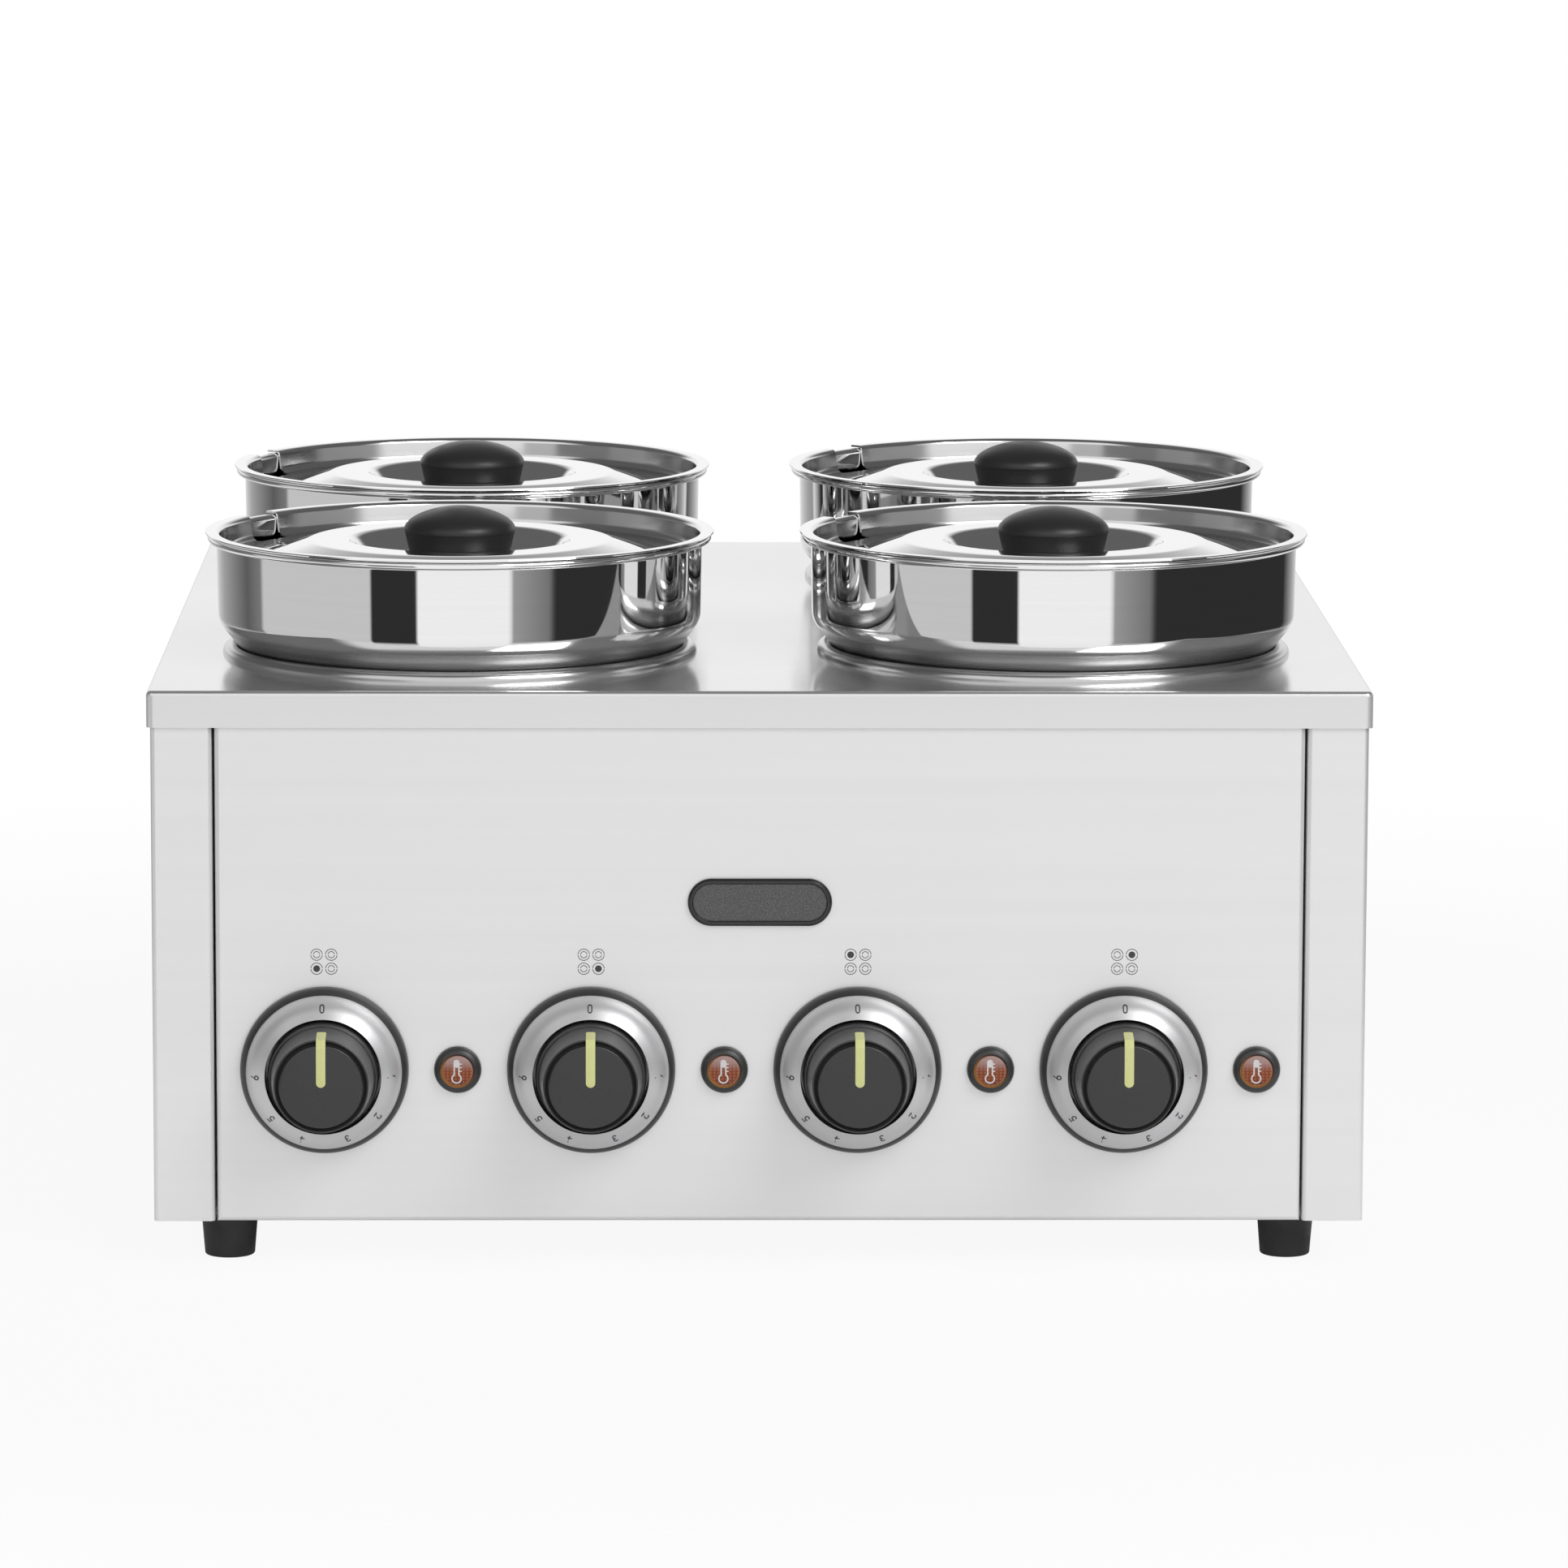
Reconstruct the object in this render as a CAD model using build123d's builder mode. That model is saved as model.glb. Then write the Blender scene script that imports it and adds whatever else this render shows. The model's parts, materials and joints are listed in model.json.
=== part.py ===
from build123d import *

import os
from math import hypot, sqrt

# A bain marie: a square stainless housing on rubber feet, with a well for each pot sunk in its worktop.
# Under each well is a heating element. The knobs on the front set them, and a lamp beside each knob shows
# that its element is on. Pots lift out of the wells, and lids lift off the pots.
# Millimetres. +Z is up and the front faces -Y. The origin is on the floor, under the middle of the whole box,
# knobs and cable gland included.

# Housing
WIDTH = 500.0          # worktop, left to right
DEPTH = 500.0          # worktop, front to back
PLATE_TOP = 240.0      # worktop above the floor
BODY_BOTTOM = 20.0     # underside of the panels above the floor
SHEET = 1.0            # thickness of the folded sheet
BEND = 2.0             # outer radius of a fold
CORNER = 3.0           # radius of the worktop's upright corners
SKIRT = 15.0           # height of the worktop's folded edge
PANEL_INSET = 1.5      # panel faces behind the skirt's face
STRIP = 25.0           # width of the side panels' strips at front and rear
SEAM = 1.0             # open gap between a strip and the panel beside it
RETURN = 18.0          # depth of the folds that turn inwards
FLANGE = 12.0          # width of the side panels' top and bottom folds
FOLD_LAP = 0.5         # how far a fold starts inside the wall's thickness
EDGE_GAP = 0.5         # clearance of the base plate inside the panels

# Wells and pots. Heights are over the worktop.
PITCH = 250.0          # between the middles of neighbouring wells
PLATE_HOLE_R = 94.5
LIP_R = 96.0           # middle of the lip's half-round section
LIP_ROUND = 3.8        # outer radius of that section
LIP_HEIGHT = 0.2       # height of the section's middle
WELL_DEPTH = 122.0     # underside of the well's floor
WELL_ROUND = 11.0
STUD_R = 3.0
STUD_LENGTH = 18.0
POT_SHEET = 0.8
POT_RIM_TOP = 50.1
POT_WALL_TOP_R = 102.3
POT_WALL_R = 101.7     # at the shoulder
SHOULDER_HEIGHT = 13.9
SHOULDER_ROUND = 10.0
POT_NECK_R = 89.6
NECK_HEIGHT = -1.1
NECK_ROUND = 4.0
POT_DEPTH = 112.0      # underside of the pot's floor, below the worktop
POT_ROUND = 12.0
RIM_ROLL_R = 1.6       # rolled edge of the pot
RIM_ROLL_MIDDLE = 104.4
RIM_INNER_ROUND = 2.0

# Lids. Heights are from the lid's flange, whose top is RIM_TOP over the worktop.
RIM_TOP = 51.2
LID_SHEET = 0.8
LID_R = 106.8
LID_LEDGE_R = 101.0    # where the flange turns down
LID_WALL_R = 99.6      # foot of the wall
LID_RING = -10.4       # flat ring inside the wall
LID_CONE_R = 86.0      # where the ring turns up into the cone
LID_CREST_R = 63.0     # where the cone reaches the level crest
LID_CREST = -3.6
LID_DISH_EDGE_R = 46.0 # where the crest turns down into the dish
LID_DISH_R = 38.3      # edge of the dish's floor
LID_DISH = -13.5
LID_ROUNDS = (2.2, 3.5, 6.0, 10.0, 4.0, 8.0)
NOTCH_WIDTH = 20.0
NOTCH_INNER_R = 95.0   # the notch opens the flange and wall, and stops at the ring
NOTCH_ROUND = 2.0
LID_KNOB_BASE_R = 20.3
LID_KNOB_RIDGE_R = 23.5
LID_KNOB_RIDGE = 0.0
LID_KNOB_TOP = 10.1
LID_KNOB_HANDLES = (0.58, 0.42)  # reach of the dome's curve up from the ridge and out from the top
LID_KNOB_EDGE = 1.5
LID_SCREW_R = 2.5
LID_SCREW_HEAD_R = 4.5
LID_SCREW_HEAD = 2.6
LID_SCREW_IN_KNOB = 9.0

# Controls. Depths are forward from the front panel's face.
CONTROL_HEIGHT = 83.4  # middle of the knobs above the floor
KNOB_FIRST_X = -178.2
KNOB_PITCH = 109.2
KNOB_COUNT = 4
BEZEL_R = 34.5
BEZEL_STEP = 1.5
BEZEL_BULGE = (34.0, 4.6)
SEAT_OUTER = (30.9, 7.5)
SEAT_INNER = (23.4, 17.0)
SCALE_SHEET = 0.6
KNOB_BACK = 7.5
KNOB_BASE_R = 22.7
KNOB_WAIST = 17.5      # where the knob starts to narrow
KNOB_FACE_R = 19.7
KNOB_FACE = 40.0
KNOB_CROWN = 0.6       # how far the face's edge lies behind its middle
KNOB_EDGE = 3.2
KNOB_SHELL_R = 18.6    # inside of the knob's hollow
KNOB_SHELL_DEPTH = 35.0
KNOB_BOSS_R = 6.5
POINTER_WIDTH = 3.8
POINTER_PROUD = 0.3
POINTER_INSET = 1.0
POINTER_END = 1.85     # radius of its end on the knob's face
POINTER_BACK = 28.5    # rear end of the pointer on the knob's side
SPINDLE_R = 3.0
SPINDLE_FRONT = 31.0
SPINDLE_BACK = -20.0
SPINDLE_FLAT = 1.0
SPINDLE_FLAT_LENGTH = 14.0
RUNNING_FIT = 0.05
BORE_SPARE = 0.02
REGULATOR = (36.0, 42.0, 26.0)   # width, height, depth
BUSH_R = 4.8
BUSH_FRONT = 4.5
BUSH_HOLE_R = 5.0
TAB = (6.3, 0.8, 8.0)
TAB_SPACING = (20.0, 24.0)
NUT_FLATS = 14.0
NUT_HEIGHT = 3.0
LAMP_OFFSET = KNOB_PITCH / 2
LAMP_R = 9.7
LAMP_BULGE = (9.1, 2.6)
LAMP_LENS_R = 7.0
LAMP_FRONT = 4.0
LAMP_SEAT = 2.4
LENS_CROWN = 4.7
LAMP_BARREL_R = 6.8
LAMP_HOLE_R = 7.0
LAMP_BARREL = -18.0
LAMP_INSIDE_R = 5.2
BADGE = (59.0, 19.6)
BADGE_HEIGHT = 153.0   # middle of the badge above the floor
BADGE_DEPTH = 2.2
BADGE_BEVEL = 0.9
BADGE_RIM = 2.2
BADGE_SUNK = 0.5

# Feet, base and rear
FOOT_X = 219.0
FOOT_SETBACK = 33.0    # from the worktop's front and rear edges
FOOT_TOP_R = 12.0
FOOT_BOTTOM_R = 10.3
FOOT_EDGE = 1.0
FOOT_RECESS_R = 5.0
FOOT_RECESS = 9.0
FOOT_SCREW_R = 2.0
FOOT_SCREW_HEAD_R = 3.8
FOOT_SCREW_HEAD = 2.6
FOOT_SCREW_TOP = 28.0
SCREW_R = 1.9
SCREW_HOLE_R = 2.1
SCREW_HEAD_R = 3.2
SCREW_HEAD = 1.4
SCREW_TOP = 27.0
SCREW_SPAN = 170.0     # base screws from the middle, along each edge
SCREW_SETBACK = 13.0   # base screws behind the front and rear faces
VENT = (44.0, 3.4)
VENT_SPACING = (56.0, 12.0)
BASE_VENT_COUNT = (4, 6)
REAR_VENT_COUNT = (5, 4)
REAR_VENT_HEIGHT = 185.0
GLAND_X = 170.0
GLAND_HEIGHT = 55.0
GLAND_BORE_R = 5.0
GLAND_THREAD_R = 10.0
GLAND_HOLE_R = 10.2
GLAND_FLATS = 24.0
GLAND_HEX = 8.0
GLAND_OUT = 24.0       # how far the gland stands out behind the rear panel
GLAND_CAP_R = (10.8, 8.0)
GLAND_IN = 9.0
LOCKNUT = 5.0
TERMINAL_BLOCK = (66.0, 24.0, 30.0)
TERMINAL_X = 80.0
TERMINAL_SETBACK = 66.0
TERMINAL_HOLE_R = 2.6
TERMINAL_HOLE = 9.0
TERMINAL_POLES = 5

# Heating elements. Depths are below the worktop.
ELEMENT_R = 78.0
ELEMENT_SHEET = 3.0
ELEMENT_HOLE_R = 4.0
COIL_R = 55.0
COIL_TUBE_R = 3.3
COIL_SINK = 1.0        # how far the tube is pressed into the plate
PIN_R = 2.0
PIN_LENGTH = 12.0
PIN_SPREAD = 8.0
CLAMP = (150.0, 18.0, 2.0)
CLAMP_HOLE_R = 3.3
CLAMP_NUT_FLATS = 10.0
CLAMP_NUT = 5.0

# Wires
WIRE_R = 1.6
WIRE_BEND = 9.0
SUPPLY_LEVEL = 30.0    # lowest supply wire above the floor
LEAD_LEVEL = 66.0      # lowest element lead above the floor
LEVEL_STEP = 5.0
WIRE_LANE = 26.0       # first cross run behind the regulators
LANE_STEP = 7.0
WIRE_SIDE = 9.0        # supply wires from a regulator's middle

# What follows from these
HOUSING_Y = (KNOB_FACE + POINTER_PROUD - GLAND_OUT) / 2
FRONT_Y = HOUSING_Y - DEPTH / 2 + PANEL_INSET
REAR_Y = HOUSING_Y + DEPTH / 2 - PANEL_INSET
BODY_HALF = WIDTH / 2 - PANEL_INSET
BODY_DEPTH = REAR_Y - FRONT_Y
PANEL_TOP = PLATE_TOP - SHEET
PANEL_HEIGHT = PANEL_TOP - BODY_BOTTOM
PANEL_MIDDLE = BODY_BOTTOM + PANEL_HEIGHT / 2
PANEL_WIDTH = 2 * (BODY_HALF - STRIP - SEAM)
BASE_UNDERSIDE = BODY_BOTTOM + SHEET
POLE_PITCH = TERMINAL_BLOCK[0] / TERMINAL_POLES
KNOB_X = [KNOB_FIRST_X + KNOB_PITCH * index for index in range(KNOB_COUNT)]
LAMP_X = [x + LAMP_OFFSET for x in KNOB_X]
PLACES = {
    "front_left": (-PITCH / 2, HOUSING_Y - PITCH / 2),
    "front_right": (PITCH / 2, HOUSING_Y - PITCH / 2),
    "rear_left": (-PITCH / 2, HOUSING_Y + PITCH / 2),
    "rear_right": (PITCH / 2, HOUSING_Y + PITCH / 2),
}
NOTCH_ANGLE = {"front_left": 147.6, "front_right": 148.2, "rear_left": 157.5, "rear_right": 141.5}
FOOT_Y = DEPTH / 2 - FOOT_SETBACK
FOOT_PLACES = [(sx * FOOT_X, HOUSING_Y + sy * FOOT_Y) for sx in (-1, 1) for sy in (-1, 1)]
SCREW_PLACES = [
    place
    for along in (-SCREW_SPAN, SCREW_SPAN)
    for side in (-1, 1)
    for place in (
        (side * (BODY_HALF - FLANGE / 2), HOUSING_Y + along),
        (along, HOUSING_Y + side * (BODY_DEPTH / 2 - SCREW_SETBACK)),
    )
]


def facing(x, z):
    """Plane on the front panel's face: across is +X, up is +Z, and it looks forward."""
    return Plane(origin=(x, FRONT_Y, z), x_dir=(1, 0, 0), z_dir=(0, -1, 0))


def behind(x, z):
    """Plane on the rear panel's face, looking backward."""
    return Plane(origin=(x, REAR_Y, z), x_dir=(-1, 0, 0), z_dir=(0, 1, 0))


def turned_forward(x):
    """Plane for a section turned about a control's axis: across is radius, up is forward depth."""
    return Plane(origin=(x, FRONT_Y, CONTROL_HEIGHT), x_dir=(1, 0, 0), z_dir=(0, 0, -1))


def forward_axis(x):
    """Axis of the control at x, pointing forward."""
    return Axis((x, FRONT_Y, CONTROL_HEIGHT), (0, -1, 0))


def standing(x, y, height):
    """Plane for a section turned about an upright axis: across is radius, up is height."""
    return Plane(origin=(x, y, height), x_dir=(1, 0, 0), z_dir=(0, -1, 0))


def upright(x, y):
    """Upright axis at a place in plan."""
    return Axis((x, y, 0), (0, 0, 1))


def save(name, part):
    """Labels a finished piece and writes it to its file."""
    part.label = name
    export_step(part, f"parts/{name}.step")


def make_top_plate():
    """Worktop: an upturned tray with a hole for each well."""
    with BuildPart() as plate:
        with BuildSketch(Plane((0, HOUSING_Y, PLATE_TOP))):
            RectangleRounded(WIDTH, DEPTH, CORNER)
        extrude(amount=-SKIRT)
        fillet(plate.faces().sort_by(Axis.Z)[-1].edges(), BEND)
        offset(amount=-SHEET, openings=plate.faces().sort_by(Axis.Z)[0])
        with Locations(*[(x, y, PLATE_TOP) for x, y in PLACES.values()]):
            Hole(radius=PLATE_HOLE_R, depth=SKIRT)
    save("top_plate", plate.part)


def make_side_panel(name, side):
    """Side panel, wrapped round front and rear as strips whose edges fold in at the seam. side is -1 or 1."""
    wall_middle = side * (BODY_HALF - STRIP / 2)
    flange_middle = side * (BODY_HALF - FOLD_LAP - FLANGE / 2)
    holes = [place for place in SCREW_PLACES if abs(place[0]) > BODY_HALF - FLANGE and place[0] * side > 0]
    with BuildPart() as panel:
        with BuildSketch(Plane((wall_middle, HOUSING_Y, BODY_BOTTOM))):
            RectangleRounded(STRIP, BODY_DEPTH, BEND)
            RectangleRounded(STRIP - 2 * SHEET, BODY_DEPTH - 2 * SHEET, BEND - SHEET, mode=Mode.SUBTRACT)
            with Locations((-side * STRIP / 2, 0)):
                Rectangle(3 * SHEET, BODY_DEPTH - 2 * RETURN, mode=Mode.SUBTRACT)
        extrude(amount=PANEL_HEIGHT - FOLD_LAP)
        for level in (BODY_BOTTOM, PANEL_TOP - SHEET):
            with BuildSketch(Plane((flange_middle, HOUSING_Y, level))):
                RectangleRounded(FLANGE, BODY_DEPTH - 2 * FOLD_LAP, BEND - FOLD_LAP)
            extrude(amount=SHEET)
        with Locations(*[(x, y, BODY_BOTTOM + SHEET) for x, y in holes]):
            Hole(radius=SCREW_HOLE_R, depth=2 * SHEET)
    save(name, panel.part)


def make_end_panel(name, plane, holes, vent_count, vent_height):
    """Front or rear panel: a tray with folded edges. holes are (x, z, radius); vents stand at vent_height."""
    outward = Axis(plane.origin, plane.z_dir)
    screws = [place for place in SCREW_PLACES if abs(place[1] - plane.origin.Y) < RETURN]
    with BuildPart() as panel:
        with BuildSketch(plane):
            Rectangle(PANEL_WIDTH, PANEL_HEIGHT)
        extrude(amount=-RETURN)
        fillet(panel.faces().sort_by(outward)[-1].edges(), BEND)
        offset(amount=-SHEET, openings=panel.faces().sort_by(outward)[0])
        for x, z, radius in holes:
            with BuildSketch(Plane(origin=(x, plane.origin.Y, z), x_dir=plane.x_dir, z_dir=plane.z_dir)):
                Circle(radius)
            extrude(amount=-2 * SHEET, mode=Mode.SUBTRACT)
        if vent_count:
            vent_plane = Plane(origin=(0, plane.origin.Y, vent_height), x_dir=plane.x_dir, z_dir=plane.z_dir)
            with BuildSketch(vent_plane):
                with GridLocations(*VENT_SPACING, *vent_count):
                    SlotOverall(*VENT)
            extrude(amount=-2 * SHEET, mode=Mode.SUBTRACT)
        with Locations(*[(x, y, BODY_BOTTOM + SHEET) for x, y in screws]):
            Hole(radius=SCREW_HOLE_R, depth=2 * SHEET)
    save(name, panel.part)


def make_base_plate():
    """Base plate: lies on the panels' bottom folds, with tabs between the panels' upright folds."""
    inner_width = 2 * (BODY_HALF - SHEET - EDGE_GAP)
    inner_depth = BODY_DEPTH - 2 * (RETURN + EDGE_GAP)
    tab_width = PANEL_WIDTH - 2 * (SHEET + EDGE_GAP)
    tab_depth = BODY_DEPTH - 2 * (SHEET + BEND)
    with BuildPart() as base:
        with BuildSketch(Plane((0, HOUSING_Y, BASE_UNDERSIDE))):
            Rectangle(inner_width, inner_depth)
            Rectangle(tab_width, tab_depth)
            with GridLocations(*VENT_SPACING, *BASE_VENT_COUNT):
                SlotOverall(*VENT, mode=Mode.SUBTRACT)
        extrude(amount=SHEET)
        with Locations(*[(x, y, BASE_UNDERSIDE + SHEET) for x, y in SCREW_PLACES]):
            Hole(radius=SCREW_HOLE_R, depth=2 * SHEET)
        with Locations(*[(x, y, BASE_UNDERSIDE + SHEET) for x, y in FOOT_PLACES]):
            Hole(radius=SCREW_HOLE_R, depth=2 * SHEET)
    save("base_plate", base.part)


def make_feet():
    """Rubber feet: tapered, with a recess underneath for the screw's head."""
    with BuildPart() as feet:
        for x, y in FOOT_PLACES:
            with BuildSketch(standing(x, y, 0)) as section:
                with BuildLine():
                    Polyline(
                        (FOOT_SCREW_R, FOOT_RECESS),
                        (FOOT_RECESS_R, FOOT_RECESS),
                        (FOOT_RECESS_R, 0),
                        (FOOT_BOTTOM_R, 0),
                        (FOOT_TOP_R, BASE_UNDERSIDE),
                        (FOOT_SCREW_R, BASE_UNDERSIDE),
                        close=True,
                    )
                make_face()
                fillet(section.vertices().sort_by_distance((FOOT_BOTTOM_R, 0))[0], FOOT_EDGE)
            revolve(axis=upright(x, y))
    save("rubber_feet", feet.part)


def make_screws(name, places, head_bottom, head_r, head_height, shank_r, shank_top):
    """Pan-head screws that point up, all alike, one at each place."""
    with BuildPart() as screws:
        with BuildSketch(Plane.XY.offset(head_bottom)):
            with Locations(*places):
                Circle(head_r)
        extrude(amount=head_height)
        with BuildSketch(Plane.XY.offset(head_bottom)):
            with Locations(*places):
                Circle(shank_r)
        extrude(amount=shank_top - head_bottom)
    save(name, screws.part)


def make_well(name, x, y):
    """Well: a drawn cup hung by a half-round lip that lies on the worktop, with a stud under its floor."""
    inner_round = LIP_ROUND - SHEET
    foot_outer = LIP_R + sqrt(LIP_ROUND**2 - LIP_HEIGHT**2)
    foot_inner = LIP_R + sqrt(inner_round**2 - LIP_HEIGHT**2)
    wall_inner = LIP_R - LIP_ROUND
    wall_outer = wall_inner + SHEET
    floor = -WELL_DEPTH
    bend = WELL_ROUND
    with BuildPart() as well:
        with BuildSketch(standing(x, y, PLATE_TOP)):
            with BuildLine():
                ThreePointArc((foot_outer, 0), (LIP_R, LIP_HEIGHT + LIP_ROUND), (wall_inner, LIP_HEIGHT))
                FilletPolyline(
                    (wall_inner, LIP_HEIGHT),
                    (wall_inner, floor + SHEET),
                    (0, floor + SHEET),
                    radius=bend - SHEET,
                )
                Line((0, floor + SHEET), (0, floor))
                FilletPolyline((0, floor), (wall_outer, floor), (wall_outer, LIP_HEIGHT), radius=bend)
                ThreePointArc((wall_outer, LIP_HEIGHT), (LIP_R, LIP_HEIGHT + inner_round), (foot_inner, 0))
                Line((foot_inner, 0), (foot_outer, 0))
            make_face()
        revolve(axis=upright(x, y))
        with BuildSketch(Plane((x, y, PLATE_TOP + floor))):
            Circle(STUD_R)
        extrude(amount=-STUD_LENGTH)
    save(name, well.part)


def make_element(name, x, y):
    """Heating element: a spreader plate under the well's floor, with a tube pressed into it and two pins."""
    plate_level = PLATE_TOP - WELL_DEPTH - ELEMENT_SHEET
    tube_level = plate_level + COIL_SINK - COIL_TUBE_R
    with BuildPart() as element:
        with BuildSketch(Plane((x, y, plate_level))):
            Circle(ELEMENT_R)
            Circle(ELEMENT_HOLE_R, mode=Mode.SUBTRACT)
        extrude(amount=ELEMENT_SHEET)
        with BuildSketch(standing(x, y, tube_level)):
            with Locations((COIL_R, 0)):
                Circle(COIL_TUBE_R)
        revolve(axis=upright(x, y))
        with BuildSketch(Plane((x, y - COIL_R, tube_level))):
            with Locations((-PIN_SPREAD, 0), (PIN_SPREAD, 0)):
                Circle(PIN_R)
        extrude(amount=-PIN_LENGTH)
    save(name, element.part)


def make_element_clamps():
    """Clamp bars: each lies across an element's tube, on the well's stud, and is held by a nut."""
    bar_top = PLATE_TOP - WELL_DEPTH - ELEMENT_SHEET + COIL_SINK - 2 * COIL_TUBE_R
    bar_length, bar_width, bar_height = CLAMP
    with BuildPart() as clamps:
        with BuildSketch(Plane.XY.offset(bar_top)):
            with Locations(*PLACES.values()):
                SlotOverall(bar_length, bar_width)
                Circle(CLAMP_HOLE_R, mode=Mode.SUBTRACT)
        extrude(amount=-bar_height)
    save("element_clamps", clamps.part)
    with BuildPart() as nuts:
        with BuildSketch(Plane.XY.offset(bar_top - bar_height)):
            with Locations(*PLACES.values()):
                RegularPolygon(CLAMP_NUT_FLATS / 2, 6, major_radius=False)
                Circle(STUD_R, mode=Mode.SUBTRACT)
        extrude(amount=-CLAMP_NUT)
    save("element_nuts", nuts.part)


def make_pot(name, x, y):
    """Pot: straight upper wall, shoulder that sits in the well's lip, narrower body and rolled rim."""
    roll_height = POT_RIM_TOP - RIM_ROLL_R
    with BuildPart() as pot:
        with BuildSketch(standing(x, y, PLATE_TOP)):
            with BuildLine():
                FilletPolyline(
                    (RIM_ROLL_MIDDLE, POT_RIM_TOP),
                    (POT_WALL_TOP_R - POT_SHEET, POT_RIM_TOP),
                    (POT_WALL_R - POT_SHEET, SHOULDER_HEIGHT),
                    (POT_NECK_R - POT_SHEET, NECK_HEIGHT),
                    (POT_NECK_R - POT_SHEET, POT_SHEET - POT_DEPTH),
                    (0, POT_SHEET - POT_DEPTH),
                    radius=(RIM_INNER_ROUND, SHOULDER_ROUND - POT_SHEET, NECK_ROUND, POT_ROUND - POT_SHEET),
                )
                offset(amount=POT_SHEET, side=Side.LEFT)
            make_face()
            with Locations((RIM_ROLL_MIDDLE, roll_height)):
                Circle(RIM_ROLL_R)
        revolve(axis=upright(x, y))
    save(name, pot.part)


def make_lid(name, x, y):
    """Lid: flange on the pot's rim, sunk ring, cone and central dish, with a notch for a ladle."""
    angle = NOTCH_ANGLE[name.removeprefix("lid_")]
    notch_length = 2 * (LID_R - NOTCH_INNER_R)
    middle = Plane(origin=(x, y, PLATE_TOP + RIM_TOP), x_dir=Vector(1, 0, 0).rotate(Axis.Z, angle))
    with BuildPart() as lid:
        with BuildSketch(standing(x, y, PLATE_TOP + RIM_TOP)):
            with BuildLine():
                FilletPolyline(
                    (LID_R, 0),
                    (LID_LEDGE_R, 0),
                    (LID_WALL_R, LID_RING),
                    (LID_CONE_R, LID_RING),
                    (LID_CREST_R, LID_CREST),
                    (LID_DISH_EDGE_R, LID_CREST),
                    (LID_DISH_R, LID_DISH),
                    (LID_SCREW_R, LID_DISH),
                    radius=LID_ROUNDS,
                )
                offset(amount=LID_SHEET, side=Side.LEFT)
            make_face()
        revolve(axis=upright(x, y))
        with BuildSketch(middle.offset(LID_SHEET)):
            with Locations((NOTCH_INNER_R + notch_length / 2, 0)):
                RectangleRounded(notch_length, NOTCH_WIDTH, NOTCH_ROUND)
        extrude(amount=2 * LID_RING, mode=Mode.SUBTRACT)
    save(name, lid.part)


def make_lid_knob(name, x, y):
    """Lid knob: widens upwards to a ridge under a domed top, with a hole below for its screw."""
    dome = LID_KNOB_TOP - LID_KNOB_RIDGE
    up, out = LID_KNOB_HANDLES
    with BuildPart() as knob:
        with BuildSketch(standing(x, y, PLATE_TOP + RIM_TOP)) as section:
            with BuildLine():
                Polyline(
                    (0, LID_KNOB_TOP),
                    (0, LID_DISH),
                    (LID_KNOB_BASE_R, LID_DISH),
                    (LID_KNOB_RIDGE_R, LID_KNOB_RIDGE),
                )
                Bezier(
                    (LID_KNOB_RIDGE_R, LID_KNOB_RIDGE),
                    (LID_KNOB_RIDGE_R, LID_KNOB_RIDGE + dome * up),
                    (LID_KNOB_RIDGE_R * out, LID_KNOB_TOP),
                    (0, LID_KNOB_TOP),
                )
            make_face()
            fillet(section.vertices().sort_by_distance((LID_KNOB_RIDGE_R, LID_KNOB_RIDGE))[0], LID_KNOB_EDGE)
        revolve(axis=upright(x, y))
        with Locations(Plane(origin=(x, y, PLATE_TOP + RIM_TOP + LID_DISH), z_dir=(0, 0, -1))):
            Hole(radius=LID_SCREW_R, depth=LID_SCREW_IN_KNOB)
    save(name, knob.part)


def make_bezels():
    """Dial bezels: a black ring on the panel, whose face slopes forward to the knob."""
    normal_length = hypot(SEAT_OUTER[0] - SEAT_INNER[0], SEAT_INNER[1] - SEAT_OUTER[1])
    across = (SEAT_INNER[1] - SEAT_OUTER[1]) / normal_length * SCALE_SHEET
    along = (SEAT_OUTER[0] - SEAT_INNER[0]) / normal_length * SCALE_SHEET
    rim = (SEAT_OUTER[0] + across, SEAT_OUTER[1] + along)
    tip = (SEAT_INNER[0] + across, SEAT_INNER[1] + along)
    with BuildPart() as bezels:
        for x in KNOB_X:
            with BuildSketch(turned_forward(x)):
                with BuildLine():
                    Polyline(
                        rim, SEAT_OUTER, SEAT_INNER, (SEAT_INNER[0], 0), (BEZEL_R, 0), (BEZEL_R, BEZEL_STEP)
                    )
                    ThreePointArc((BEZEL_R, BEZEL_STEP), BEZEL_BULGE, rim)
                make_face()
            revolve(axis=forward_axis(x))
    save("dial_bezels", bezels.part)
    with BuildPart() as scales:
        for x in KNOB_X:
            with BuildSketch(turned_forward(x)):
                with BuildLine():
                    Polyline(SEAT_OUTER, rim, tip, SEAT_INNER, close=True)
                make_face()
            revolve(axis=forward_axis(x))
    save("dial_scales", scales.part)


def pointer_sides():
    """Side view of the pointer: its outer and inner corners, as height over the middle and forward depth."""
    edge = KNOB_FACE - KNOB_CROWN
    slope = (KNOB_BASE_R - KNOB_FACE_R) / (edge - KNOB_WAIST)
    side_at_back = KNOB_FACE_R + slope * (edge - POINTER_BACK)
    outer = [
        (0, KNOB_FACE + POINTER_PROUD),
        (KNOB_FACE_R + POINTER_PROUD, edge + POINTER_PROUD),
        (side_at_back + POINTER_PROUD, POINTER_BACK),
    ]
    inner = [
        outer[-1],
        (side_at_back - POINTER_INSET, POINTER_BACK),
        (KNOB_FACE_R - KNOB_EDGE - POINTER_INSET, edge - KNOB_EDGE - POINTER_INSET),
        (0, KNOB_FACE - POINTER_INSET),
        outer[0],
    ]
    return outer, inner


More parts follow.
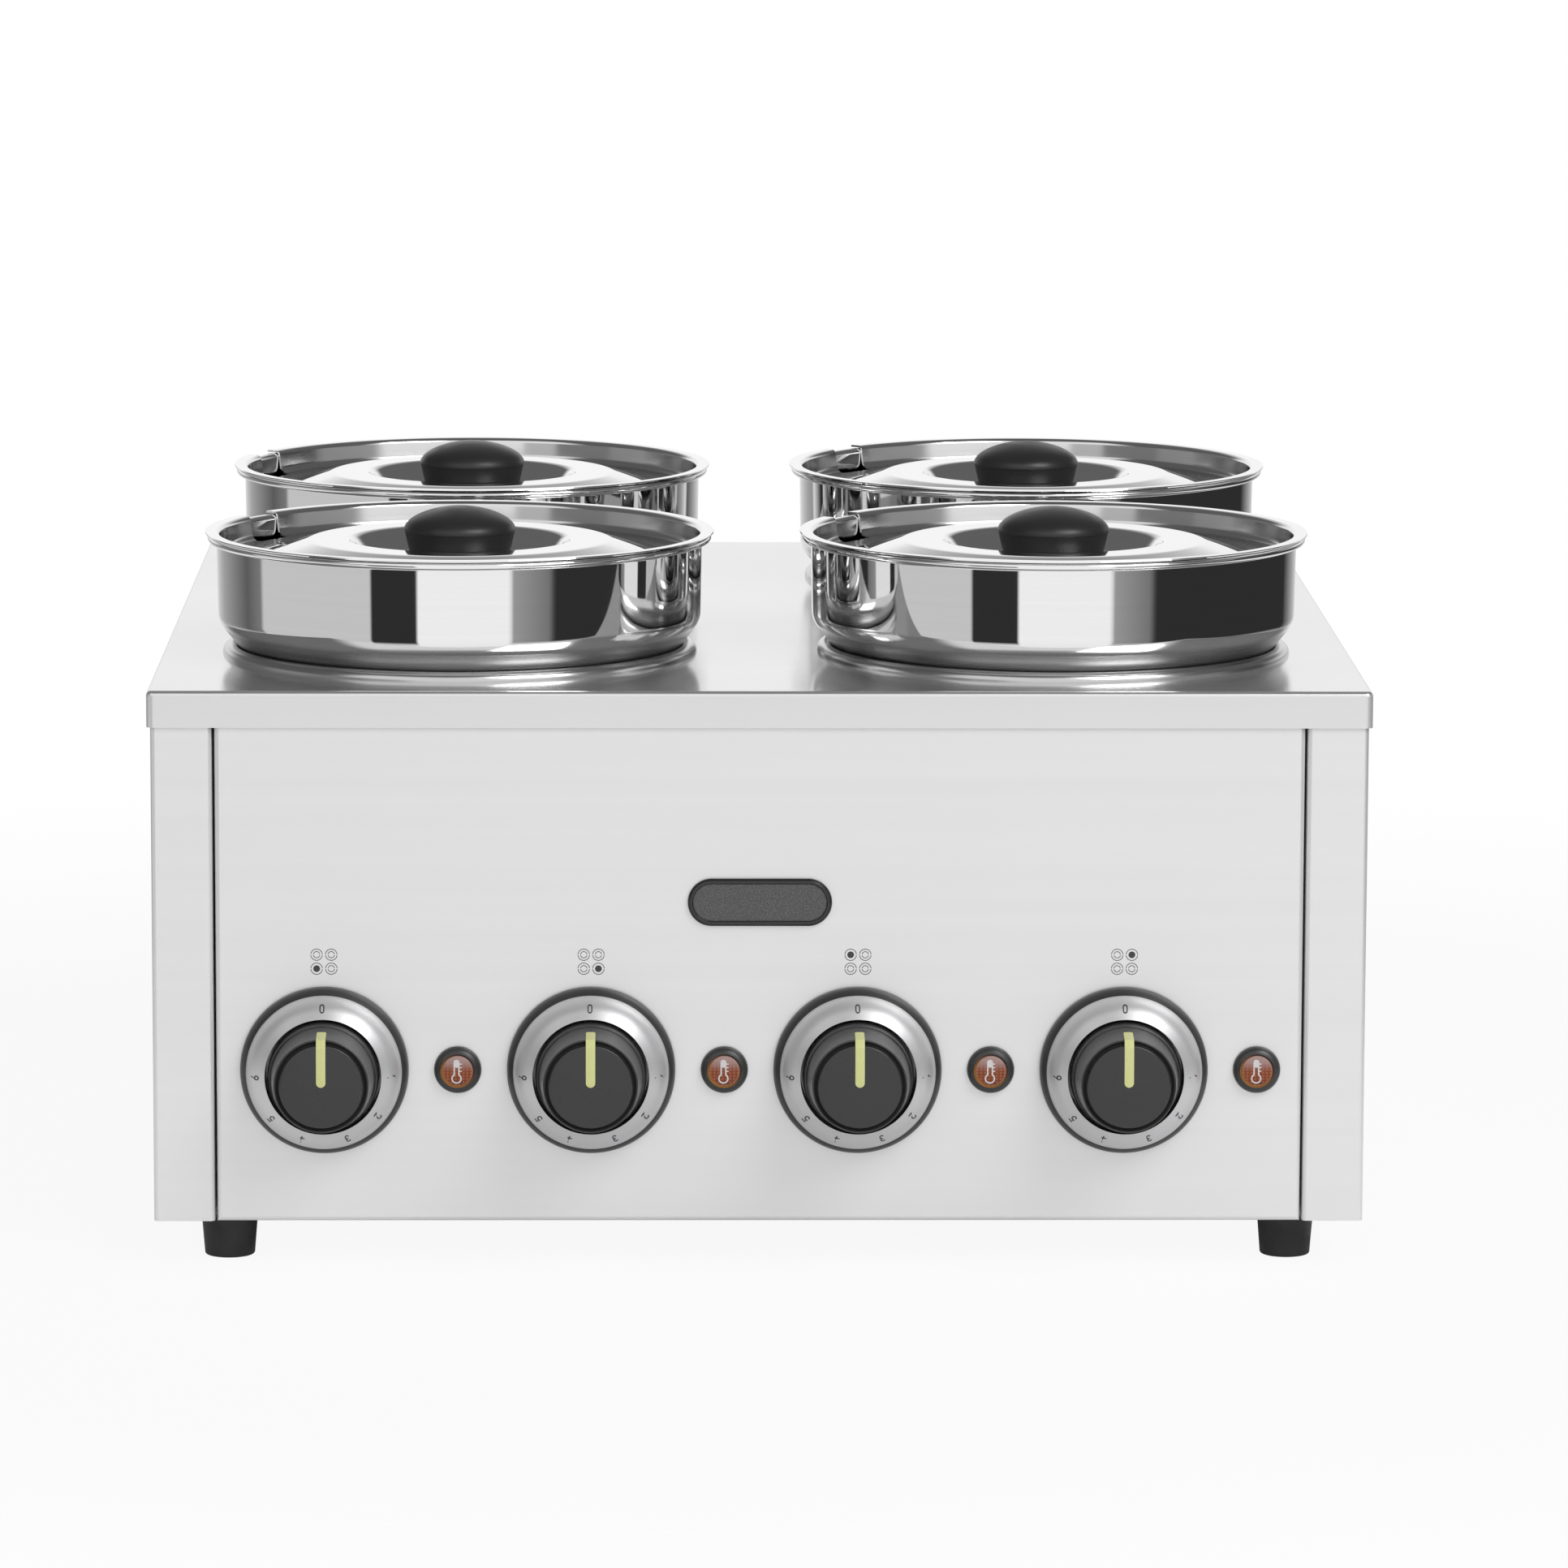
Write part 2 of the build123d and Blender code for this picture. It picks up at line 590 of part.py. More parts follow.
def make_control(number, x):
    """Control knob, the pointer let into it, and the regulator's spindle on which it turns."""
    upward = Plane(origin=(x, FRONT_Y, CONTROL_HEIGHT), x_dir=(0, 0, 1), z_dir=(1, 0, 0))
    face_middle = (0, KNOB_FACE)
    face_edge = (KNOB_FACE_R, KNOB_FACE - KNOB_CROWN)
    outer, inner = pointer_sides()
    with BuildPart() as pointer:
        with BuildSketch(upward):
            with BuildLine():
                FilletPolyline(*outer, radius=KNOB_EDGE + POINTER_PROUD)
                Polyline(*inner)
            make_face()
        extrude(amount=POINTER_WIDTH / 2, both=True)
        inner_end = pointer.faces().sort_by(Axis.Z)[0]
        fillet(inner_end.edges().filter_by(Axis.Y), POINTER_END)
    save(f"knob_pointer_{number}", pointer.part)

    with BuildPart() as knob:
        with BuildSketch(turned_forward(x)) as section:
            with BuildLine():
                Polyline(
                    face_middle,
                    (0, KNOB_BACK),
                    (KNOB_BASE_R, KNOB_BACK),
                    (KNOB_BASE_R, KNOB_WAIST),
                    face_edge,
                )
                TangentArc(face_middle, face_edge, tangent=(1, 0))
            make_face()
            fillet(section.vertices().sort_by_distance(face_edge)[0], KNOB_EDGE)
        revolve(axis=forward_axis(x))
        with BuildSketch(facing(x, CONTROL_HEIGHT).offset(KNOB_BACK)):
            Circle(KNOB_SHELL_R)
            Circle(KNOB_BOSS_R, mode=Mode.SUBTRACT)
        extrude(amount=KNOB_SHELL_DEPTH - KNOB_BACK, mode=Mode.SUBTRACT)
        with BuildSketch(facing(x, CONTROL_HEIGHT).offset(KNOB_BACK)):
            Circle(SPINDLE_R + BORE_SPARE)
        extrude(amount=SPINDLE_FRONT + RUNNING_FIT - KNOB_BACK, mode=Mode.SUBTRACT)
        add(pointer.part, mode=Mode.SUBTRACT)
    save(f"control_knob_{number}", knob.part)

    with BuildPart() as spindle:
        with BuildSketch(facing(x, CONTROL_HEIGHT).offset(SPINDLE_BACK)):
            Circle(SPINDLE_R)
        extrude(amount=SPINDLE_FRONT - SPINDLE_BACK)
        with BuildSketch(facing(x, CONTROL_HEIGHT).offset(SPINDLE_FRONT - SPINDLE_FLAT_LENGTH)):
            with Locations((0, 2 * SPINDLE_R - SPINDLE_FLAT)):
                Rectangle(2 * SPINDLE_R, 2 * SPINDLE_R)
        extrude(amount=SPINDLE_FLAT_LENGTH, mode=Mode.SUBTRACT)
    save(f"control_spindle_{number}", spindle.part)


def make_regulator(number, x):
    """Energy regulator: a moulded box behind the panel, with a bush through it and tabs for the wires."""
    width, height, depth = REGULATOR
    tab_width, tab_sheet, tab_length = TAB
    with BuildPart() as regulator:
        with BuildSketch(facing(x, CONTROL_HEIGHT).offset(-SHEET)):
            RectangleRounded(width, height, BEND)
        extrude(amount=-depth)
        with BuildSketch(facing(x, CONTROL_HEIGHT).offset(-SHEET - BEND)):
            Circle(BUSH_R)
        extrude(amount=BUSH_FRONT + SHEET + BEND)
        with BuildSketch(facing(x, CONTROL_HEIGHT).offset(-SHEET - depth)):
            with GridLocations(*TAB_SPACING, 2, 2):
                Rectangle(tab_width, tab_sheet)
        extrude(amount=-tab_length)
        with BuildSketch(facing(x, CONTROL_HEIGHT).offset(BUSH_FRONT)):
            Circle(SPINDLE_R + RUNNING_FIT)
        extrude(amount=SPINDLE_BACK - BUSH_FRONT - SHEET, mode=Mode.SUBTRACT)
    save(f"regulator_{number}", regulator.part)


def make_regulator_nuts():
    """Nuts in front of the panel, hidden inside the bezels, that hold the regulators."""
    with BuildPart() as nuts:
        for x in KNOB_X:
            with BuildSketch(facing(x, CONTROL_HEIGHT)):
                RegularPolygon(NUT_FLATS / 2, 6, major_radius=False)
                Circle(BUSH_R, mode=Mode.SUBTRACT)
            extrude(amount=NUT_HEIGHT)
    save("regulator_nuts", nuts.part)


def make_lamps():
    """Lamps: a black holder with a domed ring in front and a hollow barrel behind, and an amber lens."""
    with BuildPart() as holders:
        for x in LAMP_X:
            with BuildSketch(turned_forward(x)):
                with BuildLine():
                    Polyline(
                        (LAMP_LENS_R + BORE_SPARE, LAMP_FRONT),
                        (LAMP_LENS_R + BORE_SPARE, LAMP_SEAT),
                        (LAMP_INSIDE_R, LAMP_SEAT),
                        (LAMP_INSIDE_R, LAMP_BARREL + SHEET),
                        (0, LAMP_BARREL + SHEET),
                        (0, LAMP_BARREL),
                        (LAMP_BARREL_R, LAMP_BARREL),
                        (LAMP_BARREL_R, 0),
                        (LAMP_R, 0),
                    )
                    ThreePointArc((LAMP_R, 0), LAMP_BULGE, (LAMP_LENS_R + BORE_SPARE, LAMP_FRONT))
                make_face()
            revolve(axis=forward_axis(x))
    save("lamp_holders", holders.part)
    with BuildPart() as lenses:
        for x in LAMP_X:
            with BuildSketch(turned_forward(x)):
                with BuildLine():
                    Polyline(
                        (0, LENS_CROWN), (0, LAMP_SEAT), (LAMP_LENS_R, LAMP_SEAT), (LAMP_LENS_R, LAMP_FRONT)
                    )
                    TangentArc((0, LENS_CROWN), (LAMP_LENS_R, LAMP_FRONT), tangent=(1, 0))
                make_face()
            revolve(axis=forward_axis(x))
    save("lamp_lenses", lenses.part)


def make_badge():
    """Bare badge plate: a pill with a bevelled rim and a sunk face."""
    width, height = BADGE
    plane = facing(0, BADGE_HEIGHT)
    with BuildPart() as badge:
        with BuildSketch(plane):
            SlotOverall(width, height)
        extrude(amount=BADGE_DEPTH)
        chamfer(badge.faces().sort_by(Axis.Y)[0].edges(), BADGE_BEVEL)
        with BuildSketch(plane.offset(BADGE_DEPTH)):
            SlotOverall(width - 2 * BADGE_RIM, height - 2 * BADGE_RIM)
        extrude(amount=-BADGE_SUNK, mode=Mode.SUBTRACT)
    save("badge_plate", badge.part)


def make_gland():
    """Cable gland: a hexagon and a tapered cap outside, a neck through the panel and a locknut inside."""
    plane = behind(GLAND_X, GLAND_HEIGHT)
    with BuildPart() as gland:
        with BuildSketch(plane):
            RegularPolygon(GLAND_FLATS / 2, 6, major_radius=False)
        extrude(amount=GLAND_HEX)
        with BuildSketch(plane.offset(GLAND_HEX)):
            Circle(GLAND_CAP_R[0])
        with BuildSketch(plane.offset(GLAND_OUT)):
            Circle(GLAND_CAP_R[1])
        loft()
        with BuildSketch(plane):
            Circle(GLAND_THREAD_R)
        extrude(amount=-SHEET - GLAND_IN)
        with BuildSketch(plane.offset(GLAND_OUT)):
            Circle(GLAND_BORE_R)
        extrude(amount=-GLAND_OUT - SHEET - GLAND_IN, mode=Mode.SUBTRACT)
        with BuildSketch(plane.offset(-SHEET)):
            RegularPolygon(GLAND_FLATS / 2, 6, major_radius=False)
            Circle(GLAND_THREAD_R + RUNNING_FIT, mode=Mode.SUBTRACT)
        extrude(amount=-LOCKNUT)
    save("cable_gland", gland.part)


def make_terminal_block():
    """Terminal block: a moulded bar on the base plate with a screw well for each wire."""
    length, width, height = TERMINAL_BLOCK
    middle = Plane((TERMINAL_X, REAR_Y - TERMINAL_SETBACK, BASE_UNDERSIDE + SHEET))
    with BuildPart() as block:
        with BuildSketch(middle):
            RectangleRounded(length, width, BEND)
        extrude(amount=height)
        with BuildSketch(middle.offset(height)):
            with GridLocations(POLE_PITCH, width / 2, TERMINAL_POLES, 2):
                Circle(TERMINAL_HOLE_R)
        extrude(amount=-TERMINAL_HOLE, mode=Mode.SUBTRACT)
    save("terminal_block", block.part)


def supply_route(index, x):
    """Points of the supply wire from the terminal block to a regulator: along the base, across and up."""
    level = SUPPLY_LEVEL + LEVEL_STEP * index
    start_x = TERMINAL_X + (index - 1) * POLE_PITCH
    start_y = REAR_Y - TERMINAL_SETBACK - TERMINAL_BLOCK[1] / 2
    back = FRONT_Y + SHEET + REGULATOR[2]
    lane = back + WIRE_LANE + LANE_STEP * (KNOB_COUNT + index)
    rise = back + WIRE_LANE / 2
    return [
        (start_x, start_y, level),
        (start_x, lane, level),
        (x - WIRE_SIDE, lane, level),
        (x - WIRE_SIDE, rise, level),
        (x - WIRE_SIDE, rise, CONTROL_HEIGHT),
        (x - WIRE_SIDE, back, CONTROL_HEIGHT),
    ]


def lead_route(index, x, place):
    """Points of the lead from a regulator to the element that it heats: back, across and up to a pin."""
    level = LEAD_LEVEL + LEVEL_STEP * index
    back = FRONT_Y + SHEET + REGULATOR[2]
    pin_y = place[1] - COIL_R
    pin_end = PLATE_TOP - WELL_DEPTH - ELEMENT_SHEET + COIL_SINK - COIL_TUBE_R - PIN_LENGTH
    if place[1] < HOUSING_Y:
        pin_x = place[0] - PIN_SPREAD
        return [(x, back, level), (x, pin_y, level), (pin_x, pin_y, level), (pin_x, pin_y, pin_end)]
    pin_x = place[0] + PIN_SPREAD
    lane = back + WIRE_LANE + LANE_STEP * index
    return [
        (x, back, level),
        (x, lane, level),
        (pin_x, lane, level),
        (pin_x, pin_y, level),
        (pin_x, pin_y, pin_end),
    ]


def make_wiring():
    """Wires inside the housing: a supply wire to each regulator, and a lead from it to its element."""
    routes = [supply_route(index, x) for index, x in enumerate(KNOB_X)]
    routes += [lead_route(index, x, place) for index, (x, place) in enumerate(zip(KNOB_X, PLACES.values()))]
    with BuildPart() as wiring:
        for route in routes:
            with BuildLine() as path:
                FilletPolyline(*route, radius=WIRE_BEND)
            with BuildSketch(Plane(origin=path.line @ 0, z_dir=path.line % 0)):
                Circle(WIRE_R)
            sweep(path=path.line)
    save("wiring", wiring.part)


def main():
    """Makes every piece of the bain marie."""
    os.makedirs("parts", exist_ok=True)
    front_holes = [(x, CONTROL_HEIGHT, BUSH_HOLE_R) for x in KNOB_X]
    front_holes += [(x, CONTROL_HEIGHT, LAMP_HOLE_R) for x in LAMP_X]
    make_top_plate()
    make_side_panel("left_side_panel", -1)
    make_side_panel("right_side_panel", 1)
    make_end_panel("front_panel", facing(0, PANEL_MIDDLE), front_holes, None, 0)
    make_end_panel(
        "rear_panel",
        behind(0, PANEL_MIDDLE),
        [(GLAND_X, GLAND_HEIGHT, GLAND_HOLE_R)],
        REAR_VENT_COUNT,
        REAR_VENT_HEIGHT,
    )
    make_base_plate()
    make_feet()
    make_screws(
        "foot_screws",
        FOOT_PLACES,
        FOOT_RECESS - FOOT_SCREW_HEAD,
        FOOT_SCREW_HEAD_R,
        FOOT_SCREW_HEAD,
        FOOT_SCREW_R,
        FOOT_SCREW_TOP,
    )
    make_screws(
        "base_screws", SCREW_PLACES, BODY_BOTTOM - SCREW_HEAD, SCREW_HEAD_R, SCREW_HEAD, SCREW_R, SCREW_TOP
    )
    for place, (x, y) in PLACES.items():
        make_well(f"well_{place}", x, y)
        make_element(f"element_{place}", x, y)
        make_pot(f"pot_{place}", x, y)
        make_lid(f"lid_{place}", x, y)
        make_lid_knob(f"lid_knob_{place}", x, y)
        make_screws(
            f"lid_screw_{place}",
            [(x, y)],
            PLATE_TOP + RIM_TOP + LID_DISH - LID_SHEET - LID_SCREW_HEAD,
            LID_SCREW_HEAD_R,
            LID_SCREW_HEAD,
            LID_SCREW_R - RUNNING_FIT,
            PLATE_TOP + RIM_TOP + LID_DISH + LID_SCREW_IN_KNOB - SHEET,
        )
    make_element_clamps()
    make_bezels()
    for number, x in enumerate(KNOB_X, start=1):
        make_control(number, x)
        make_regulator(number, x)
    make_regulator_nuts()
    make_lamps()
    make_badge()
    make_gland()
    make_terminal_block()
    make_wiring()


main()
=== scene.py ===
"""Looks of a bain marie with lidded pots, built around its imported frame.

Sizes here are millimetres in the frame's axes: +Z is up, +X is right and the front faces -Y.
Meshes are written in metres. Turned pieces are lathe surfaces, printed signs are strokes laid on a
surface, and every finish is worked out from the piece's own coordinates.
"""

import json
import logging
from dataclasses import dataclass, field
from enum import Enum
from math import atan2, pi, radians, sin, sqrt, tan
from typing import Callable

import bmesh
import bpy
import numpy as np
from mathutils import Matrix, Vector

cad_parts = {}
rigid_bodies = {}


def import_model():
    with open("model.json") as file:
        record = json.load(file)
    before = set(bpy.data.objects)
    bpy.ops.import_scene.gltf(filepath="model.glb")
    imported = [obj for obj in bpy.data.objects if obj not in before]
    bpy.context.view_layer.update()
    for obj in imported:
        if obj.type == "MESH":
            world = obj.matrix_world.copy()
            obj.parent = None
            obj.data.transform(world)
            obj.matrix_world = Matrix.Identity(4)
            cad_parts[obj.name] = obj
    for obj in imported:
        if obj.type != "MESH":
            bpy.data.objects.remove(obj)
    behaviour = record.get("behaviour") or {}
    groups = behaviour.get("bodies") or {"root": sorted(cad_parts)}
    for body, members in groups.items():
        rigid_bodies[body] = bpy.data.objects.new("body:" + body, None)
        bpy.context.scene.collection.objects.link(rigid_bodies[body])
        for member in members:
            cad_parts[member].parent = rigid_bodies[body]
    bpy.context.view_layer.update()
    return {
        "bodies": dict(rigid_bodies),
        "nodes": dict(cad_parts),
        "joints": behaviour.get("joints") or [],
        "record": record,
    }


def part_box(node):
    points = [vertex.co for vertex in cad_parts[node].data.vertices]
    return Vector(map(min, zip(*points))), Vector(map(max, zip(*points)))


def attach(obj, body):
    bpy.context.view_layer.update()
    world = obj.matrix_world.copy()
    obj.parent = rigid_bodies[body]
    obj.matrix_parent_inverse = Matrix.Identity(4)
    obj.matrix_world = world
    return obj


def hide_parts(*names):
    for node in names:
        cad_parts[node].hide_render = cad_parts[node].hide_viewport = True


Array = np.ndarray
Point = tuple[float, ...]
Colour = tuple[float, float, float]
Stops = tuple[tuple[float, float], ...]
Surface = Callable[[Array, Array], Array]

MM = 0.001
SEGMENTS = 192          # steps round a large turned piece
DIAL_SEGMENTS = 128     # steps round a dial
SMALL_SEGMENTS = 96     # steps round a small piece
SHARP = 40.0            # degrees, from which an edge stays sharp
SAME = 1e-6             # millimetres, under which two points are one
WELD = 2e-7             # metres, under which two points of a mesh are joined
RELIEF = 0.0002         # metres, depth of a sheet's or moulding's relief
FINE_RELIEF = 0.0001    # metres, depth of a turned piece's relief
# degrees, each lid's ladle notch round its axis from the right
NOTCH_ANGLES = {"front_left": 147.6, "front_right": 148.2, "rear_left": 157.5, "rear_right": 141.5}
log = logging.getLogger("bain_marie")


class Facing(Enum):
    """Which way the axis of a turned piece points."""

    UP = "up"
    FORWARD = "forward"


@dataclass(frozen=True)
class Seat:
    """Where a piece stands: its own axes are across, up the page and along the axis."""

    origin: Point
    facing: Facing

    def place(self, points: Array) -> Array:
        """Moves points from the piece's own axes to the frame's.

        Args:
            points: Array whose last axis holds across, up the page and along the axis.

        Returns:
            Array of the same shape in the frame's axes, in millimetres.
        """
        across, page, along = points[..., 0], points[..., 1], points[..., 2]
        if self.facing is Facing.UP:
            turned = np.stack([across, page, along], axis=-1)
        else:
            turned = np.stack([across, -along, page], axis=-1)
        return turned + np.array(self.origin)


@dataclass
class Grid:
    """A surface as a grid of points, with a pattern coordinate and a mask at each point."""

    points: Array
    uv: Array
    mask: Array

    @classmethod
    def plain(cls, points: Array, mask: Array | float = 0.0) -> "Grid":
        """A surface whose pattern coordinate is its own plane in metres, with the mask given."""
        return cls(points, points[..., :2] * MM, np.broadcast_to(mask, points.shape[:2]))

    def placed(self, seat: Seat) -> "Grid":
        """The same surface, stood on a seat."""
        return Grid(seat.place(self.points), self.uv, self.mask)

    def faces(self) -> Array:
        """Four corners of each cell, as numbers of points counted row by row."""
        rows, columns = self.points.shape[:2]
        number = np.arange(rows * columns).reshape(rows, columns)
        corners = [number[:-1, :-1], number[1:, :-1], number[1:, 1:], number[:-1, 1:]]
        return np.stack(corners, axis=-1).reshape(-1, 4)


def arc(centre: Point, radius: float, start: float, end: float, steps: int = 16) -> Array:
    """Points of a circle's arc: centre plus radius times cosine and sine of an even run of angles.

    Args:
        centre: Middle of the circle.
        radius: Its radius.
        start: First angle in degrees, from the first axis towards the second.
        end: Last angle in degrees.
        steps: Number of pieces.

    Returns:
        Array of steps + 1 points.
    """
    angle = np.radians(np.linspace(start, end, steps + 1))
    return np.array(centre) + radius * np.column_stack([np.cos(angle), np.sin(angle)])


def straight(start: Point, end: Point, margin: float = 0.4, spacing: float = 4.0) -> Array:
    """Points of a straight stretch: evenly spaced, with one more near each end to keep it flat.

    Args:
        start: First point.
        end: Last point.
        margin: Distance of the extra points from the ends.
        spacing: Largest step between.

    Returns:
        Array of points from start to end.
    """
    first, last = np.array(start, float), np.array(end, float)
    length = np.linalg.norm(last - first)
    if length < 4 * margin:
        return np.stack([first, last])
    steps = max(2, int(np.ceil(length / spacing)) + 1)
    inner = np.linspace(margin, length - margin, steps)
    share = np.concatenate([[0.0], inner, [length]]) / length
    return first + share[:, None] * (last - first)


def rounded(corners: list[Point], radii: list[float], steps: int = 10) -> Array:
    """Outline through corners, with an arc in place of each inner corner.

    At a corner the arc's middle lies on the bisector, radius over the sine of half the angle away, and
    the arc touches both sides at radius over the tangent of half the angle.

    Args:
        corners: Points of the sharp outline.
        radii: Radius at each inner corner; none where it is 0.
        steps: Pieces in each arc.

    Returns:
        Array of points along the outline.
    """
    sharp = [np.array(corner, float) for corner in corners]
    pieces: list[Array] = []
    start = sharp[0]
    for before, corner, after, radius in zip(sharp, sharp[1:], sharp[2:], radii):
        if radius <= 0:
            pieces.append(straight(start, corner))
            start = corner
            continue
        back = (before - corner) / np.linalg.norm(before - corner)
        ahead = (after - corner) / np.linalg.norm(after - corner)
        half = np.arccos(np.clip(back @ ahead, -1, 1)) / 2
        touch = radius / tan(half)
        bisector = (back + ahead) / np.linalg.norm(back + ahead)
        middle = corner + bisector * radius / sin(half)
        first = corner + back * touch - middle
        last = corner + ahead * touch - middle
        turn = atan2(first[0] * last[1] - first[1] * last[0], first @ last)
        begin = np.degrees(atan2(first[1], first[0]))
        pieces.append(straight(start, middle + first))
        pieces.append(arc(tuple(middle), radius, begin, begin + np.degrees(turn), steps))
        start = middle + last
    pieces.append(straight(start, sharp[-1]))
    return without_repeats(np.concatenate(pieces))


def without_repeats(line: Array) -> Array:
    """The line without points that lie on the one before."""
    step = np.linalg.norm(np.diff(line, axis=0), axis=1)
    return line[np.concatenate([[True], step > SAME])]


def beside(line: Array, distance: float, sharpest: float = 0.35) -> Array:
    """The line moved sideways: each point goes along its normal, lengthened at a bend.

    Args:
        line: Points of an open line in a plane.
        distance: How far, to the left of its direction.
        sharpest: Least cosine of half a bend; past it a point is lengthened no more.

    Returns:
        Array of as many points.
    """
    step = np.diff(line, axis=0)
    step = step / np.linalg.norm(step, axis=1)[:, None]
    left = np.column_stack([-step[:, 1], step[:, 0]])
    before = np.concatenate([left[:1], left])
    after = np.concatenate([left, left[-1:]])
    normal = before + after
    normal = normal / np.linalg.norm(normal, axis=1)[:, None]
    stretch = 1 / np.clip((normal * after).sum(axis=1), sharpest, 1)
    return line + normal * (distance * stretch)[:, None]


def along(line: Array) -> Array:
    """Distance of each point from the line's start, measured along it."""
    step = np.linalg.norm(np.diff(line, axis=0), axis=1)
    return np.concatenate([[0.0], np.cumsum(step)])


def bulging(low: Point, bulge: Point, high: Point, steps: int = 18) -> Array:
    """Curve between two points that passes through a third halfway.

    It is a quadratic curve, whose handle is twice the third point less the mean of the two ends.

    Args:
        low: First end.
        bulge: Point that the curve passes halfway.
        high: Last end.
        steps: Number of pieces.

    Returns:
        Array of steps + 1 points.
    """
    first, middle, last = (np.array(point, float) for point in (low, bulge, high))
    handle = 2 * middle - (first + last) / 2
    share = np.linspace(0, 1, steps + 1)[:, None]
    return (1 - share) ** 2 * first + 2 * share * (1 - share) * handle + share**2 * last


def turned(
    profile: Array,
    segments: int = SEGMENTS,
    mask: Array | float = 0.0,
    gap: Array | float = 0.0,
    start: float = 0.0,
) -> Grid:
    """Lathe surface: a profile of radius and height carried round an axis.

    The point at turn t is radius times cosine and sine of t, at the profile's height. The turn runs from
    the start plus the gap round to the start less the gap. The pattern coordinate is the share of that run
    and the distance along the profile.

    Args:
        profile: Points of radius and height.
        segments: Steps round the axis.
        mask: Value for each point of the profile, or one for all.
        gap: Angle in radians left open on each side of the start, for each point or one for all.
        start: Angle in radians of the gap's middle.

    Returns:
        Grid in the piece's own axes.
    """
    share = np.linspace(0, 1, segments + 1)
    rows = np.ones((len(profile), 1))
    left_open = rows * np.reshape(gap, (-1, 1))
    turn = start + left_open + 2 * (pi - left_open) * share
    radius, height = profile[:, :1], profile[:, 1:]
    points = np.stack([radius * np.cos(turn), radius * np.sin(turn), height * np.ones_like(turn)], axis=-1)
    uv = np.stack(np.broadcast_arrays(share[None, :], along(profile)[:, None] * MM), axis=-1)
    return Grid(points, uv, np.broadcast_to(rows * np.reshape(mask, (-1, 1)), turn.shape))


def stroke(
    line: Array,
    width: float,
    surface: Surface,
    thickness: float = 0.05,
    closed: bool = False,
    end_steps: int = 4,
) -> Grid:
    """Printed stroke: a thin flat bar carried along a line, with round ends, laid on a surface.

    Across the line the bar reaches half its width each way. At an open end the half width shrinks as a
    sine and the line runs on as a cosine, which makes a half circle.

    Args:
        line: Points in the print's own plane.
        width: Width of the stroke.
        surface: Lays plane points at a height on the surface that carries the print.
        thickness: How far the print stands out.
        closed: Whether the line joins its own start.
        end_steps: Pieces in a quarter of a round end.

    Returns:
        Grid in the piece's own axes.
    """
    line = without_repeats(line)
    half = np.full(len(line), width / 2)
    if not closed:
        angle = np.linspace(0, pi / 2, end_steps + 1)[:-1]
        start = (line[0] - line[1]) / np.linalg.norm(line[0] - line[1])
        end = (line[-1] - line[-2]) / np.linalg.norm(line[-1] - line[-2])
        reach = (np.cos(angle) * width / 2)[:, None]
        line = np.concatenate([line[0] + start * reach, line, (line[-1] + end * reach)[::-1]])
        cap = np.sin(angle) * width / 2
        half = np.concatenate([cap, half, cap[::-1]])
    side = beside(line, 1.0) - line
    if closed:
        side[0] = side[-1] = (side[0] + side[-1]) / 2
    left = line + side * half[:, None]
    right = line - side * half[:, None]
    flat, raised = np.zeros(len(line)), np.full(len(line), thickness)
    loop = [surface(left, flat), surface(left, raised), surface(right, raised), surface(right, flat)]
    return Grid.plain(np.stack([*loop, loop[0]], axis=1))


def disc(
    centre: Point, radius: float, surface: Surface, thickness: float = 0.05, segments: int = 32
) -> Grid:
    """Printed dot: circles of growing radius on top, and the edge down to the surface.

    Args:
        centre: Middle of the dot in the print's own plane.
        radius: Its radius.
        surface: Lays plane points at a height on the surface that carries the print.
        thickness: How far the print stands out.
        segments: Steps round the dot.

    Returns:
        Grid in the piece's own axes.
    """
    turn = np.linspace(0, 2 * pi, segments + 1)
    ring = np.column_stack([np.cos(turn), np.sin(turn)])
    rows = [(0.0, thickness), (radius, thickness), (radius, 0.0), (0.0, 0.0)]
    loops = [surface(np.array(centre) + ring * reach, np.full(len(turn), height)) for reach, height in rows]
    return Grid.plain(np.stack(loops))


def make_piece(
    name: str, grids: list[Grid], material: bpy.types.Material, sharp: float = SHARP
) -> bpy.types.Object:
    """Writes grids into one mesh object, closes its seams and turns its faces outwards.

    Args:
        name: Name of the object.
        grids: Surfaces in the frame's axes, in millimetres.
        material: Finish of the whole piece.
        sharp: Angle in degrees from which an edge stays sharp.

    Returns:
        The new object, at the origin, with a pattern coordinate and a mask on its mesh.
    """
    points = np.concatenate([grid.points.reshape(-1, 3) for grid in grids]) * MM
    starts = np.cumsum([0] + [grid.points.shape[0] * grid.points.shape[1] for grid in grids])
    faces = np.concatenate([grid.faces() + start for grid, start in zip(grids, starts)])
    uv = np.concatenate([grid.uv.reshape(-1, 2) for grid in grids])
    mask = np.concatenate([np.asarray(grid.mask, float).reshape(-1) for grid in grids])
    mesh = bpy.data.meshes.new(name)
    mesh.from_pydata(points, [], faces)
    mesh.uv_layers.new(name="pattern").data.foreach_set("uv", uv[faces.ravel()].ravel())
    mesh.attributes.new("mask", "FLOAT", "POINT").data.foreach_set("value", mask)
    shape = bmesh.new()
    shape.from_mesh(mesh)
    bmesh.ops.remove_doubles(shape, verts=shape.verts, dist=WELD)
    bmesh.ops.recalc_face_normals(shape, faces=shape.faces)
    shape.to_mesh(mesh)
    shape.free()
    mesh.polygons.foreach_set("use_smooth", np.ones(len(mesh.polygons), bool))
    mesh.set_sharp_from_angle(angle=radians(sharp))
    mesh.materials.append(material)
    piece = bpy.data.objects.new(name, mesh)
    bpy.context.scene.collection.objects.link(piece)
    return piece


